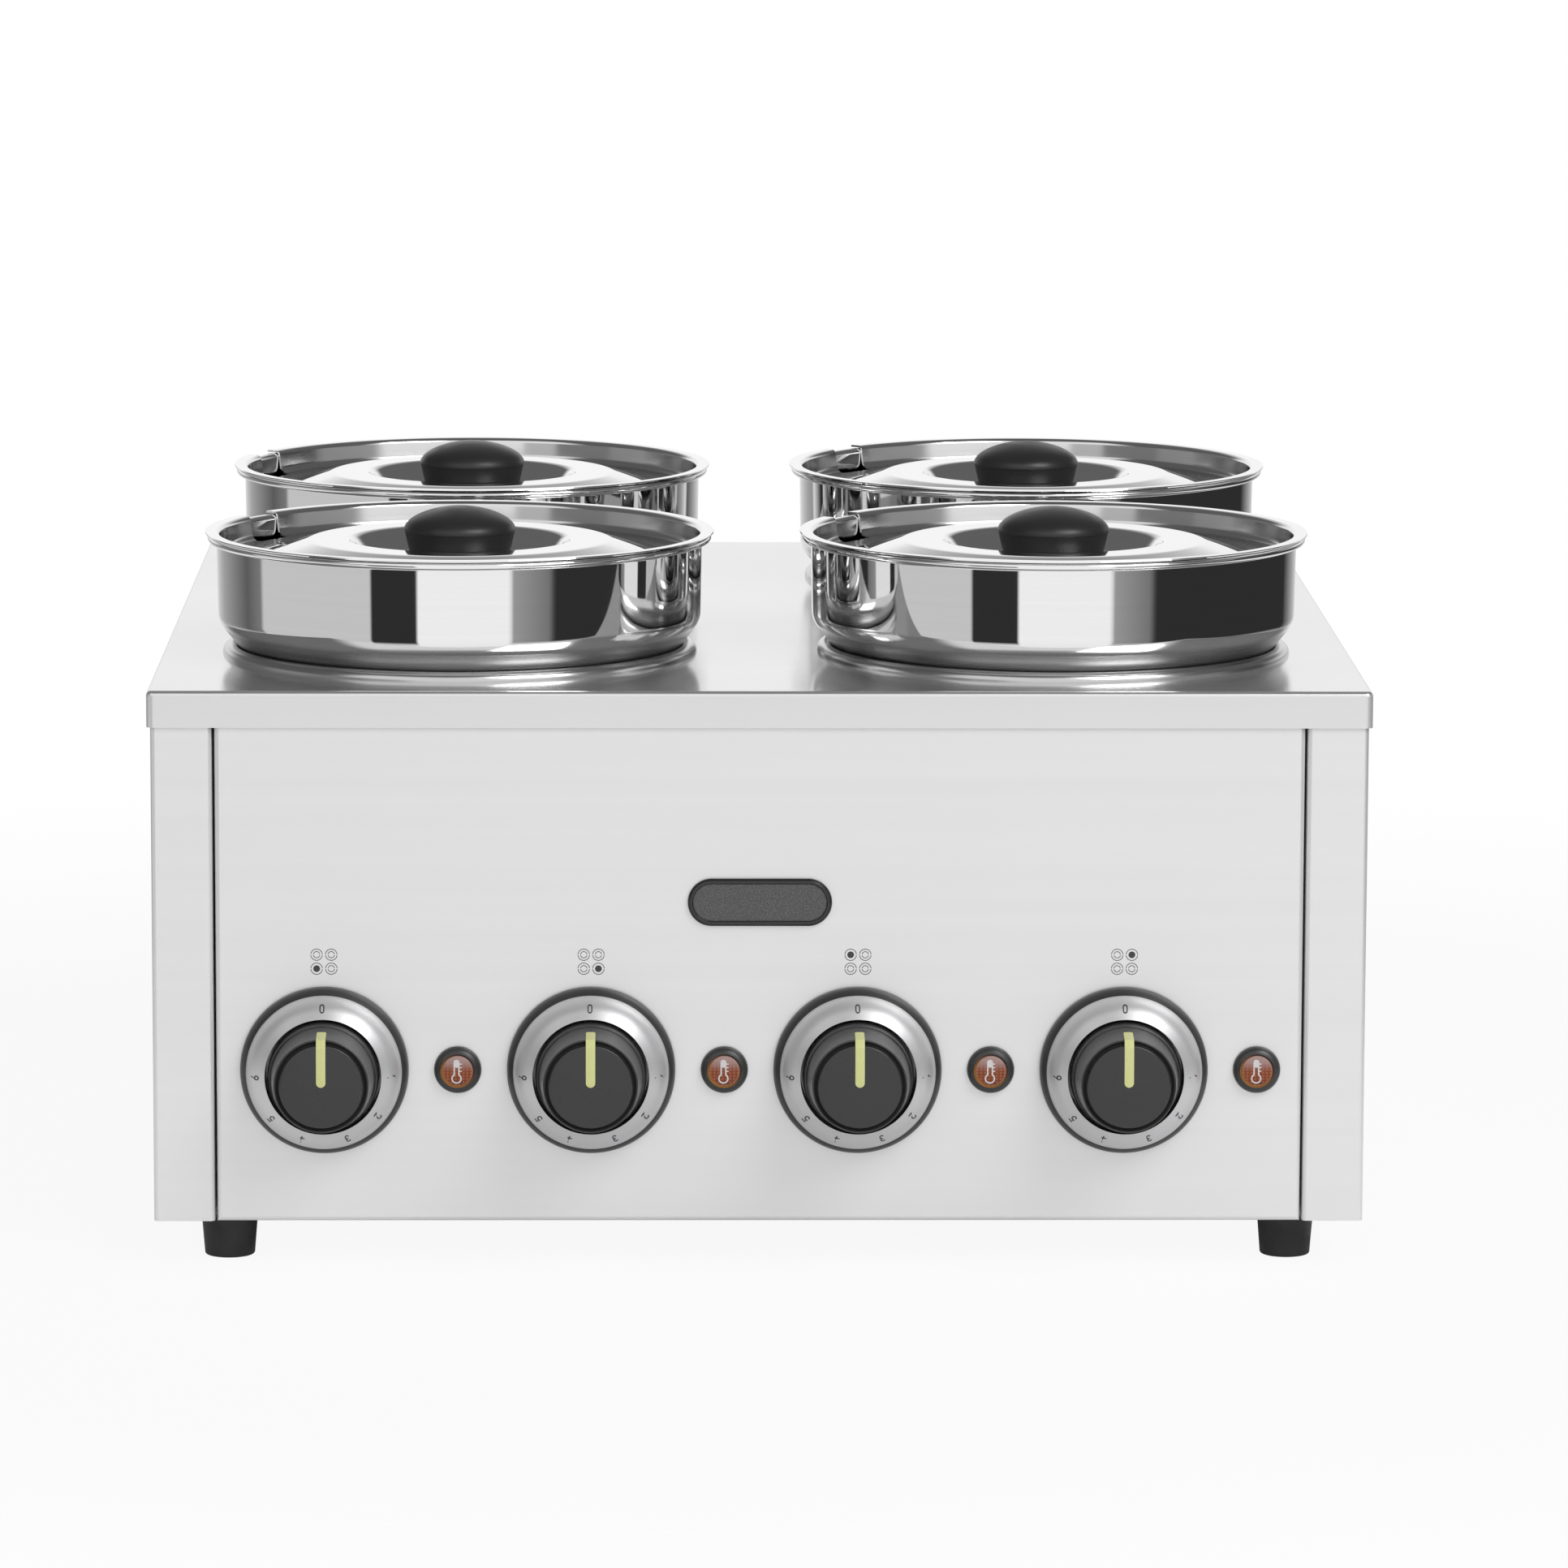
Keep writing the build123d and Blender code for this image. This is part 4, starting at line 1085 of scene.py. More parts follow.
@dataclass
class Cooker:
    """One well with its pot, lid and lid knob.

    Heights are over the worktop, and those of the lid and its knob are over the lid's flange.
    """

    place: str
    finishes: Finishes
    notch_angle: float
    sheet: float = 1.0
    lip_radius: float = 96.0
    lip_round: float = 3.8
    lip_height: float = 0.2
    well_depth: float = 122.0
    well_round: float = 11.0
    stud_radius: float = 3.0
    stud_length: float = 18.0
    stud_round: float = 0.5
    pot_sheet: float = 0.8
    rim_top: float = 50.1
    wall_top_radius: float = 102.3
    wall_radius: float = 101.7
    shoulder: float = 13.9
    shoulder_round: float = 10.0
    neck_radius: float = 89.6
    neck: float = -1.1
    neck_round: float = 4.0
    pot_depth: float = 112.0
    pot_round: float = 12.0
    roll_radius: float = 1.6
    roll_middle: float = 104.4
    roll_end: float = -150.0
    roll_drop: float = 2.1
    below_roll: tuple[float, ...] = (0.0, 0.3, 0.7, 1.2)
    rim_round: float = 2.0
    flange_top: float = 51.2
    lid_radius: float = 106.8
    lid_corners: tuple[Point, ...] = (
        (101.0, 0.0), (99.6, -10.4), (86.0, -10.4), (63.0, -3.6), (46.0, -3.6), (38.3, -13.5),
    )
    lid_rounds: tuple[float, ...] = (2.2, 3.5, 6.0, 10.0, 4.0, 8.0)
    lid_hole: float = 2.5
    lid_edge: float = 0.15
    notch_width: float = 20.0
    notch_inner: float = 95.0
    notch_round: float = 2.0
    notch_over: float = 1.0
    grip_base: float = 20.3
    grip_ridge: tuple[float, float] = (23.5, 0.0)
    grip_step: tuple[float, float] = (0.3, 0.4)
    grip_top: float = 10.1
    grip_handles: tuple[float, float] = (0.58, 0.42)
    grip_rounds: tuple[float, ...] = (0.6, 0.1, 0.15)
    dome_steps: int = 40
    satin_edge: tuple[float, float] = (12.4, 10.6)
    inside_satin: float = 0.25
    ring_satin: float = 1.0
    ring_fade: tuple[float, float] = (0.25, 0.75)
    cut_satin: float = 0.6
    lip_satin: float = 0.75
    cup_satin: float = 0.35
    seat: Seat = field(init=False)
    lid_seat: Seat = field(init=False)

    def __post_init__(self) -> None:
        """Reads the place of the well from the frame."""
        top = extent_of("top_plate")[2][2]
        middle = extent_of(f"pot_{self.place}")[1]
        self.seat = Seat((middle[0], middle[1], top), Facing.UP)
        self.lid_seat = Seat((middle[0], middle[1], top + self.flange_top), Facing.UP)

    def build(self) -> None:
        """Makes the well, the pot, the lid and its knob."""
        pot, lid = f"pot_{self.place}", f"lid_{self.place}"
        pieces = (
            ("well_cup", [self.well()], self.seat, "housing", "polished_steel", "well"),
            ("pot_shell", [self.pot()], self.seat, pot, "polished_steel", "pot"),
            ("lid_shell", self.lid(), self.lid_seat, lid, "polished_steel", "lid"),
            ("lid_grip", [self.grip()], self.lid_seat, lid, "black_satin", "lid_knob"),
        )
        for name, grids, seat, body, slot, node in pieces:
            placed = [grid.placed(seat) for grid in grids]
            material = self.finishes.by_slot[slot]
            add_piece(f"{name}_{self.place}", placed, material, body, slot, f"{node}_{self.place}")

    def well(self) -> Grid:
        """Drawn cup with a half-round lip: the lip's arc, the wall and floor inside, then back outside."""
        inner = self.lip_round - self.sheet
        foot = np.degrees(np.arcsin(self.lip_height / self.lip_round))
        inner_foot = np.degrees(np.arcsin(self.lip_height / inner))
        middle = (self.lip_radius, self.lip_height)
        wall = self.lip_radius - self.lip_round
        floor = -self.well_depth
        inside = rounded(
            [(wall, self.lip_height), (wall, floor + self.sheet), (0, floor + self.sheet)],
            [self.well_round - self.sheet],
        )
        outside = rounded(
            [
                (0, floor - self.stud_length),
                (self.stud_radius, floor - self.stud_length),
                (self.stud_radius, floor),
                (wall + self.sheet, floor),
                (wall + self.sheet, self.lip_height),
            ],
            [self.stud_round, 0, self.well_round],
        )
        profile = np.concatenate([
            arc(middle, self.lip_round, -foot, 180, steps=28),
            inside[1:],
            outside,
            arc(middle, inner, 180, -inner_foot, steps=20)[1:],
        ])
        profile = np.concatenate([profile, profile[:1]])
        satin = np.where(profile[:, 1] > self.lip_height - self.lip_round, self.lip_satin, self.cup_satin)
        return turned(profile, mask=satin)

    def pot(self) -> Grid:
        """Pot: floor, body, neck, shoulder and wall inside, the rolled rim, then back one sheet out.

        Where the wall outside meets the roll, its heights are shares of the roll's radius.
        """
        inner = rounded(
            [
                (0, self.pot_sheet - self.pot_depth),
                (self.neck_radius - self.pot_sheet, self.pot_sheet - self.pot_depth),
                (self.neck_radius - self.pot_sheet, self.neck),
                (self.wall_radius - self.pot_sheet, self.shoulder),
                (self.wall_top_radius - self.pot_sheet, self.rim_top),
                (self.roll_middle, self.rim_top),
            ],
            [
                self.pot_round - self.pot_sheet,
                self.neck_round,
                self.shoulder_round - self.pot_sheet,
                self.rim_round,
            ],
        )
        outer = beside(inner, -self.pot_sheet)
        outer[0] = (0, -self.pot_depth)
        under_roll = self.rim_top - self.roll_drop * self.roll_radius
        below_rim = outer[outer[:, 1] < under_roll - 2 * self.roll_radius]
        close_to_rim = under_roll - self.roll_radius * np.array(self.below_roll)
        rise = (close_to_rim - self.shoulder) / (self.rim_top - self.shoulder)
        wall = self.wall_radius + rise * (self.wall_top_radius - self.wall_radius)
        middle = (self.roll_middle, self.rim_top - self.roll_radius)
        rim = arc(middle, self.roll_radius, 90, self.roll_end, steps=20)
        profile = np.concatenate([inner, rim[1:], np.column_stack([wall, close_to_rim]), below_rim[::-1]])
        outside = np.arange(len(profile)) >= len(inner) + len(rim) - 1
        above, below = self.satin_edge
        low = np.clip((above - profile[:, 1]) / (above - below), 0, 1)
        satin = np.where(outside, low, self.inside_satin * low)
        return turned(profile, mask=satin)

    def half_notch(self) -> Array:
        """Half of the notch's edge: straight across its inner end, a round corner, then straight out."""
        half = self.notch_width / 2
        outside = self.lid_radius + self.notch_over
        corners = [(self.notch_inner, 0), (self.notch_inner, half), (outside, half)]
        return rounded(corners, [self.notch_round], steps=8)

    def lid(self) -> list[Grid]:
        """Lid: a sheet's section carried round the axis from one side of the notch to the other.

        At each radius the turn starts and ends at the notch's edge, whose angle comes from the outline of the
        notch. Inside the notch's inner end the turn is a whole circle.

        Returns:
            The turned sheet, and the two cut edges of the notch.
        """
        corners = [(self.lid_radius, 0), *self.lid_corners, (self.lid_hole, self.lid_corners[-1][1])]
        top = rounded(corners, list(self.lid_rounds))
        edge = self.half_notch()
        edge_radius = np.hypot(edge[:, 0], edge[:, 1])
        edge_turn = np.arctan2(edge[:, 1], edge[:, 0])
        distance = along(top)
        extra = np.interp(edge_radius[edge_radius < self.lid_radius], top[::-1, 0], distance[::-1])
        places = np.unique(np.round(np.concatenate([distance, extra]), 6))
        top = np.column_stack([np.interp(places, distance, top[:, axis]) for axis in (0, 1)])
        bottom = beside(top, self.pot_sheet)
        bottom[0] = (self.lid_radius, -self.pot_sheet)
        bottom[-1] = (self.lid_hole, bottom[-1, 1])
        bulge = np.array([[self.lid_radius + self.lid_edge, -self.pot_sheet / 2]])
        section = np.concatenate([top, bottom[::-1], bulge, top[:1]])
        radius = section[:, 0]
        half = np.where(radius <= self.notch_inner, 0.0, np.interp(radius, edge_radius, edge_turn))
        ring_outer, ring_inner = self.lid_corners[1][0], self.lid_corners[2][0]
        on_ring = np.abs(radius - (ring_outer + ring_inner) / 2) / (ring_outer - ring_inner)
        start, end = self.ring_fade
        ring = np.clip((end - on_ring) / (end - start), 0, 1) * (np.arange(len(section)) < len(top))
        sheet = turned(section, mask=self.ring_satin * ring, gap=half, start=radians(self.notch_angle))
        cut = top[:, 0] >= self.notch_inner - SAME
        edges = []
        for column in (0, -1):
            upper = sheet.points[: len(top), column][cut]
            lower = sheet.points[len(top): 2 * len(top), column][::-1][cut]
            edges.append(Grid.plain(np.stack([upper, lower], axis=1), self.cut_satin))
        return [sheet, *edges]

    def grip(self) -> Grid:
        """Lid knob: a side that widens upwards, a small step out to the ridge, and a dome.

        The dome is a cubic curve, upright at the ridge and level at the top. Its two handles are shares of
        the dome's height and of its radius.
        """
        ridge_radius, ridge = self.grip_ridge
        foot = self.lid_corners[-1][1]
        step_in, step_down = self.grip_step
        side = rounded(
            [
                (0, foot),
                (self.grip_base, foot),
                (ridge_radius - step_in, ridge - step_down),
                (ridge_radius, ridge - step_down),
                (ridge_radius, ridge),
            ],
            list(self.grip_rounds),
            steps=5,
        )
        share = np.linspace(0, 1, self.dome_steps + 1)[:, None]
        up, out = self.grip_handles
        handles = np.array([
            (ridge_radius, ridge),
            (ridge_radius, ridge + up * (self.grip_top - ridge)),
            (ridge_radius * out, self.grip_top),
            (0.0, self.grip_top),
        ])
        weights = np.hstack([
            (1 - share) ** 3, 3 * share * (1 - share) ** 2, 3 * share**2 * (1 - share), share**3
        ])
        dome = weights @ handles
        return turned(np.concatenate([side, dome[1:]]), segments=SMALL_SEGMENTS)


class Digit(Enum):
    """The numbers of the dial, as strokes in a box 1 tall, drawn about its middle."""

    ZERO = 0
    ONE = 1
    TWO = 2
    THREE = 3
    FOUR = 4
    FIVE = 5
    SIX = 6

    def strokes(self) -> list[Array]:
        """Lines of the number, each an open or closed run of points."""
        oval = [arc((0, 0.2), 0.24, 0, 180), arc((0, -0.2), 0.24, 180, 360), [(0.24, 0.2)]]
        swan = [arc((0, 0.2), 0.24, 165, -35), [(-0.24, -0.42), (0.25, -0.42)]]
        flag = [[(0.22, 0.42), (-0.18, 0.42), (-0.2, 0.05)], arc((0, -0.17), 0.26, 125, -145)]
        bowl = arc((0, -0.18), 0.24, 180, 540, steps=28)
        lines = {
            Digit.ZERO: [np.concatenate(oval)],
            Digit.ONE: [[(-0.16, 0.26), (0.06, 0.44), (0.06, -0.44)]],
            Digit.TWO: [np.concatenate(swan)],
            Digit.THREE: [arc((-0.02, 0.21), 0.22, 150, -90), arc((-0.02, -0.2), 0.24, 90, -150)],
            Digit.FOUR: [[(0.04, 0.44), (-0.25, -0.2), (0.27, -0.2)], [(0.11, 0.06), (0.11, -0.44)]],
            Digit.FIVE: [np.concatenate(flag)],
            Digit.SIX: [bowl, [(0.1, 0.44), (-0.19, 0.0), (-0.24, -0.18)]],
        }
        return [np.array(line) for line in lines[self]]


@dataclass
class Control:
    """One control: dial rim, silver scale with numbers, and knob with pointer.

    Depths are forward from the front panel.
    """

    number: int
    finishes: Finishes
    rim_radius: float = 34.5
    rim_step: float = 1.5
    rim_edge: float = 0.3
    rim_bulge: tuple[float, float] = (33.9, 4.4)
    scale_outer: tuple[float, float] = (31.9, 6.9)
    scale_bend: tuple[float, float] = (30.5, 12.8)
    scale_bend_round: float = 12.0
    scale_inner: tuple[float, float] = (23.8, 17.4)
    scale_sheet: float = 0.6
    digit_height: float = 3.2
    digit_width: float = 3.2
    digit_stroke: float = 0.52
    digit_radius: float = 27.8
    digit_angles: tuple[float, ...] = (-0.8, 90.8, 126.8, 159.3, 198.5, 230.0, 268.5)
    knob_back: float = 7.5
    knob_base: float = 22.7
    knob_waist: float = 17.6
    knob_neck: tuple[float, float] = (21.6, 21.0)
    knob_crest: tuple[float, float] = (19.2, 38.0)
    knob_rounds: tuple[float, ...] = (0.5, 1.2, 3.0)
    crest_round: float = 0.4
    groove: tuple[tuple[float, float], tuple[float, float]] = ((17.7, 36.7), (17.3, 36.4))
    groove_round: float = 0.1
    knob_face: float = 40.0
    cap_crown: float = 1.0
    cap_radius: float = 17.05
    cap_edge: float = 0.6
    cap_steps: int = 15
    knob_hollow: tuple[float, float] = (18.6, 35.0)
    hollow_round: float = 1.5
    pointer_width: float = 3.8
    pointer_proud: float = 0.27
    pointer_sunk: float = 0.6
    pointer_back: float = 28.5
    pointer_on_cap: float = 16.2
    pointer_round: float = 0.8
    pointer_corner: float = 0.8
    pointer_bevel: float = 0.08
    pointer_flat: float = 0.8
    pointer_cap_points: int = 24
    pointer_end_points: int = 12
    pointer_points: int = 40
    seat: Seat = field(init=False)
    scale_line: Array = field(init=False)
    scale_back: Point = field(init=False)

    def __post_init__(self) -> None:
        """Reads the place of the knob from the frame."""
        middle = extent_of(f"control_knob_{self.number}")[1]
        panel = extent_of("front_panel")[0][1]
        self.seat = Seat((middle[0], panel, middle[2]), Facing.FORWARD)
        corners = [self.scale_outer, self.scale_bend, self.scale_inner]
        self.scale_line = rounded(corners, [self.scale_bend_round], steps=14)
        self.scale_back = (self.scale_inner[0], self.scale_inner[1] - self.scale_sheet)

    def rim(self) -> Grid:
        """Black rim: a bulging ring outside the scale, closed behind the scale by its sloping seat."""
        curve = bulging((self.rim_radius, self.rim_step), self.rim_bulge, self.scale_outer)
        foot = [(self.rim_radius - self.rim_edge, 0.0), (self.rim_radius, self.rim_edge)]
        rest = [self.scale_back, (self.scale_inner[0], 0.0)]
        profile = np.concatenate([foot, curve, rest, foot[:1]])
        return turned(profile, segments=DIAL_SEGMENTS).placed(self.seat)

    def scale(self) -> Grid:
        """Silver scale: from the rim steeply forward, then round to a shallow cone that ends at the knob."""
        profile = np.concatenate([self.scale_line, [self.scale_back], self.scale_line[:1]])
        return turned(profile, segments=DIAL_SEGMENTS).placed(self.seat)

    def on_scale(self, angle: float) -> Surface:
        """Lays a number's plane on the scale, its top outwards, at an angle clockwise from the top."""
        line = self.scale_line[::-1]

        def lay(plane: Array, height: Array) -> Array:
            """Radius grows up the number, the turn grows across it, and height goes forward."""
            radius = self.digit_radius + plane[:, 1]
            depth = np.interp(radius, line[:, 0], line[:, 1]) + height
            turn = radians(angle) + plane[:, 0] / self.digit_radius
            return np.stack([radius * np.sin(turn), radius * np.cos(turn), depth], axis=-1)

        return lay

    def numbers(self) -> list[Grid]:
        """The numbers of the scale: 0 at the top and the rest from the right round to the left."""
        grids = []
        for digit in Digit:
            surface = self.on_scale(self.digit_angles[digit.value])
            for line in digit.strokes():
                closed = bool(np.allclose(line[0], line[-1]))
                sized = line * np.array([self.digit_width, self.digit_height])
                grids.append(stroke(sized, self.digit_stroke, surface, closed=closed).placed(self.seat))
        return grids

    def knob_side(self) -> Array:
        """Outside of the knob: its foot, a neck, the side up to a crest, a groove, and the domed cap."""
        cap_inside = self.cap_radius - 2 * self.cap_edge
        side = rounded(
            [
                (self.knob_hollow[0], self.knob_back),
                (self.knob_base, self.knob_back),
                (self.knob_base, self.knob_waist),
                self.knob_neck,
                self.knob_crest,
                *self.groove,
                (self.cap_radius, self.knob_face - self.cap_crown),
                (cap_inside, self.on_cap(cap_inside)),
            ],
            [*self.knob_rounds, self.crest_round, self.groove_round, self.groove_round, self.cap_edge],
        )
        radius = np.linspace(side[-1, 0], 0, self.cap_steps + 1)[1:]
        return np.concatenate([side, np.column_stack([radius, self.on_cap(radius)])])

    def on_cap(self, radius: Array | float) -> Array | float:
        """Depth of the cap, which falls as the square of the radius."""
        return self.knob_face - self.cap_crown * (radius / self.cap_radius) ** 2

    def knob(self) -> Grid:
        """Knob: its outside, then the hollow behind the face."""
        radius, depth = self.knob_hollow
        corners = [(0, depth), (radius, depth), (radius, self.knob_back)]
        hollow = rounded(corners, [self.hollow_round])
        outline = np.concatenate([hollow, self.knob_side()])
        return turned(outline, segments=SMALL_SEGMENTS).placed(self.seat)

    def pointer(self) -> Grid:
        """Pointer: a thin bar laid from the cap's middle over the groove and back along the knob's side.

        Its half width shrinks as a circle does at the cap's end and has small round corners at the other. The
        outer face is a little proud of the knob, with bevelled edges, and the inner one lies inside the knob.
        """
        (neck, neck_depth), (crest, crest_depth) = self.knob_neck, self.knob_crest
        taper = (neck - crest) / (crest_depth - neck_depth)
        back = crest + taper * (crest_depth - self.pointer_back)
        reach = np.linspace(0, self.pointer_on_cap, self.pointer_cap_points)
        cap = np.column_stack([reach, self.on_cap(reach)])
        side = rounded([tuple(cap[-1]), self.knob_crest, (back, self.pointer_back)], [self.pointer_round])
        line = np.concatenate([cap, side[1:]])
        distance = along(line)
        half = self.pointer_width / 2
        turn = 1 - np.cos(np.linspace(0, pi / 2, self.pointer_end_points))
        ends = [half * turn, distance[-1] - self.pointer_corner * turn]
        even = np.linspace(0, distance[-1], self.pointer_points)
        fine = np.unique(np.concatenate([*ends, even, distance]))
        line = np.column_stack([np.interp(fine, distance, line[:, axis]) for axis in (0, 1)])
        from_cap = np.clip(fine / half, 0, 1)
        from_back = np.clip((fine[-1] - fine) / self.pointer_corner, 0, 1)
        width = half * np.sqrt(1 - (1 - from_cap) ** 2)
        width -= self.pointer_corner * (1 - np.sqrt(1 - (1 - from_back) ** 2))
        inner, shoulder, outer = (
            beside(line, offset)
            for offset in (-self.pointer_sunk, self.pointer_proud - self.pointer_bevel, self.pointer_proud)
        )
        flat = self.pointer_flat
        section = [(shoulder, -1), (outer, -flat), (outer, flat), (shoulder, 1), (inner, 1), (inner, -1)]
        rows = [np.column_stack([width * share, row]) for row, share in [*section, section[0]]]
        return Grid.plain(np.stack(rows, axis=1)).placed(self.seat)

    def build(self) -> None:
        """Makes the knob and its pointer, which turn together."""
        body, black, yellow = f"knob_{self.number}", self.finishes.knob_black, "pointer_yellow"
        knob, pointer = f"control_knob_{self.number}", f"knob_pointer_{self.number}"
        add_piece(f"control_grip_{self.number}", [self.knob()], black, body, "black_satin", knob)
        paint = self.finishes.by_slot[yellow]
        add_piece(f"pointer_bar_{self.number}", [self.pointer()], paint, body, yellow, pointer)


@dataclass
class Lamp:
    """Pilot lamp: a black rim round an amber lens with a thermometer sign. Depths are forward."""

    x: float
    seat_height: float
    panel: float
    radius: float = 9.7
    bulge: tuple[float, float] = (9.1, 2.6)
    lens_radius: float = 7.0
    front: float = 4.0
    lens_seat: float = 2.4
    crown: float = 4.7
    barrel_radius: float = 6.8
    barrel_back: float = -18.0
    rim_edge: float = 0.3
    lens_gap: float = 0.02
    dome_fall: float = 0.45
    groove: float = 6.15
    groove_inset: float = 0.35
    groove_width: float = 0.12
    barrel_inside: float = 5.2
    barrel_floor: float = 1.0
    groove_drop: float = 0.05
    front_drop: float = 0.1
    lens_rounds: tuple[float, ...] = (0.15, 0.1, 0.05, 0.0)
    dome_points: int = 14
    # where the painted glow lies: radius shares of its edge, the direction it lies away from, and its fall
    painted_light_edge: tuple[float, float] = (0.78, 0.90)
    painted_light_away: tuple[float, float] = (0.6, 0.8)
    painted_light_power: float = 1.5
    sign_stroke: float = 0.58
    sign_spacing: float = 0.4
    sign_x: float = -0.4
    sign_bulb: float = -3.0
    sign_top: float = 3.6
    sign_fill: float = 1.1
    bulb_radius: float = 1.85
    stem_half: float = 0.95
    tick_pitch: float = 1.48
    tick_length: float = 1.0
    tick_share: float = 0.8
    ticks: int = 3
    seat: Seat = field(init=False)

    def __post_init__(self) -> None:
        """Stands the lamp on the panel."""
        self.seat = Seat((self.x, self.panel, self.seat_height), Facing.FORWARD)

    def rim(self) -> Grid:
        """Rim and barrel: a bulging ring in front and a closed tube behind the panel."""
        bezel, back = self.lens_radius + self.lens_gap, self.barrel_back
        floor = back + self.barrel_floor
        inside = [
            (bezel, self.lens_seat),
            (self.barrel_inside, self.lens_seat),
            (self.barrel_inside, floor),
            (0, floor),
            (0, back),
            (self.barrel_radius, back),
            (self.barrel_radius, 0),
            (self.radius - self.rim_edge, 0),
            (self.radius, self.rim_edge),
        ]
        curve = bulging((self.radius, self.rim_edge), self.bulge, (bezel, self.front), steps=16)
        return turned(np.concatenate([curve, inside]), segments=SMALL_SEGMENTS).placed(self.seat)

    def lens_height(self, radius: Array | float) -> Array | float:
        """Depth of the lens's front: a shallow dome that falls as the square of the radius."""
        return self.crown - self.dome_fall * (radius / self.groove) ** 2

    def lens(self) -> Grid:
        """Lens: domed front, a groove near its edge and a flat back. The mask marks a painted glow of light
        through the lens at lower left.
        """
        radius = np.linspace(0, self.groove - self.groove_inset, self.dome_points)
        dome = np.column_stack([radius, self.lens_height(radius)])
        edge = rounded(
            [
                tuple(dome[-1]),
                (self.groove, self.lens_height(self.groove) - self.groove_drop),
                (self.groove + self.groove_width, self.front - self.groove_inset),
                (self.lens_radius, self.front - self.front_drop),
                (self.lens_radius, self.lens_seat),
                (0, self.lens_seat),
            ],
            list(self.lens_rounds),
            steps=4,
        )
        grid = turned(np.concatenate([dome, edge[1:]]), segments=SMALL_SEGMENTS)
        plane = grid.points[..., :2] / self.lens_radius
        # mask of the painted glow, strongest at the lower left of the outer edge
        lower_left = np.clip((1 - plane @ np.array(self.painted_light_away)) / 2, 0, 1)
        start, end = self.painted_light_edge
        outer = np.clip((np.linalg.norm(plane, axis=-1) - start) / (end - start), 0, 1)
        return Grid.plain(grid.points, outer * lower_left**self.painted_light_power).placed(self.seat)

    def sign(self) -> list[Grid]:
        """Thermometer sign: an open bulb and stem in one line, a filled top and three ticks."""

        def on_lens(plane: Array, height: Array) -> Array:
            """Plane points at the lens's own depth."""
            depth = self.lens_height(np.hypot(plane[:, 0], plane[:, 1])) + height
            return np.column_stack([plane, depth])

        x, bulb, top = self.sign_x, self.sign_bulb, self.sign_top
        left, right = x - self.stem_half, x + self.stem_half
        open_angle = np.degrees(np.arcsin(self.stem_half / self.bulb_radius))
        neck = bulb + sqrt(self.bulb_radius**2 - self.stem_half**2)
        outline = np.concatenate([
            straight((right, top), (right, neck), spacing=self.sign_spacing),
            arc((x, bulb), self.bulb_radius, 90 - open_angle, -270 + open_angle, steps=36),
            straight((left, neck), (left, top), spacing=self.sign_spacing),
            arc((x, top), self.stem_half, 180, 0, steps=14),
        ])
        grids = [stroke(outline, self.sign_stroke, on_lens, closed=True)]
        filled = straight((x, top), (x, top - self.sign_fill), spacing=self.sign_spacing)
        grids.append(stroke(filled, 2 * self.stem_half, on_lens))
        for count in range(self.ticks):
            level = top - self.sign_fill / 2 - count * self.tick_pitch
            tick = np.array([(right, level), (right + self.tick_length, level)])
            grids.append(stroke(tick, self.sign_stroke * self.tick_share, on_lens))
        return [grid.placed(self.seat) for grid in grids]


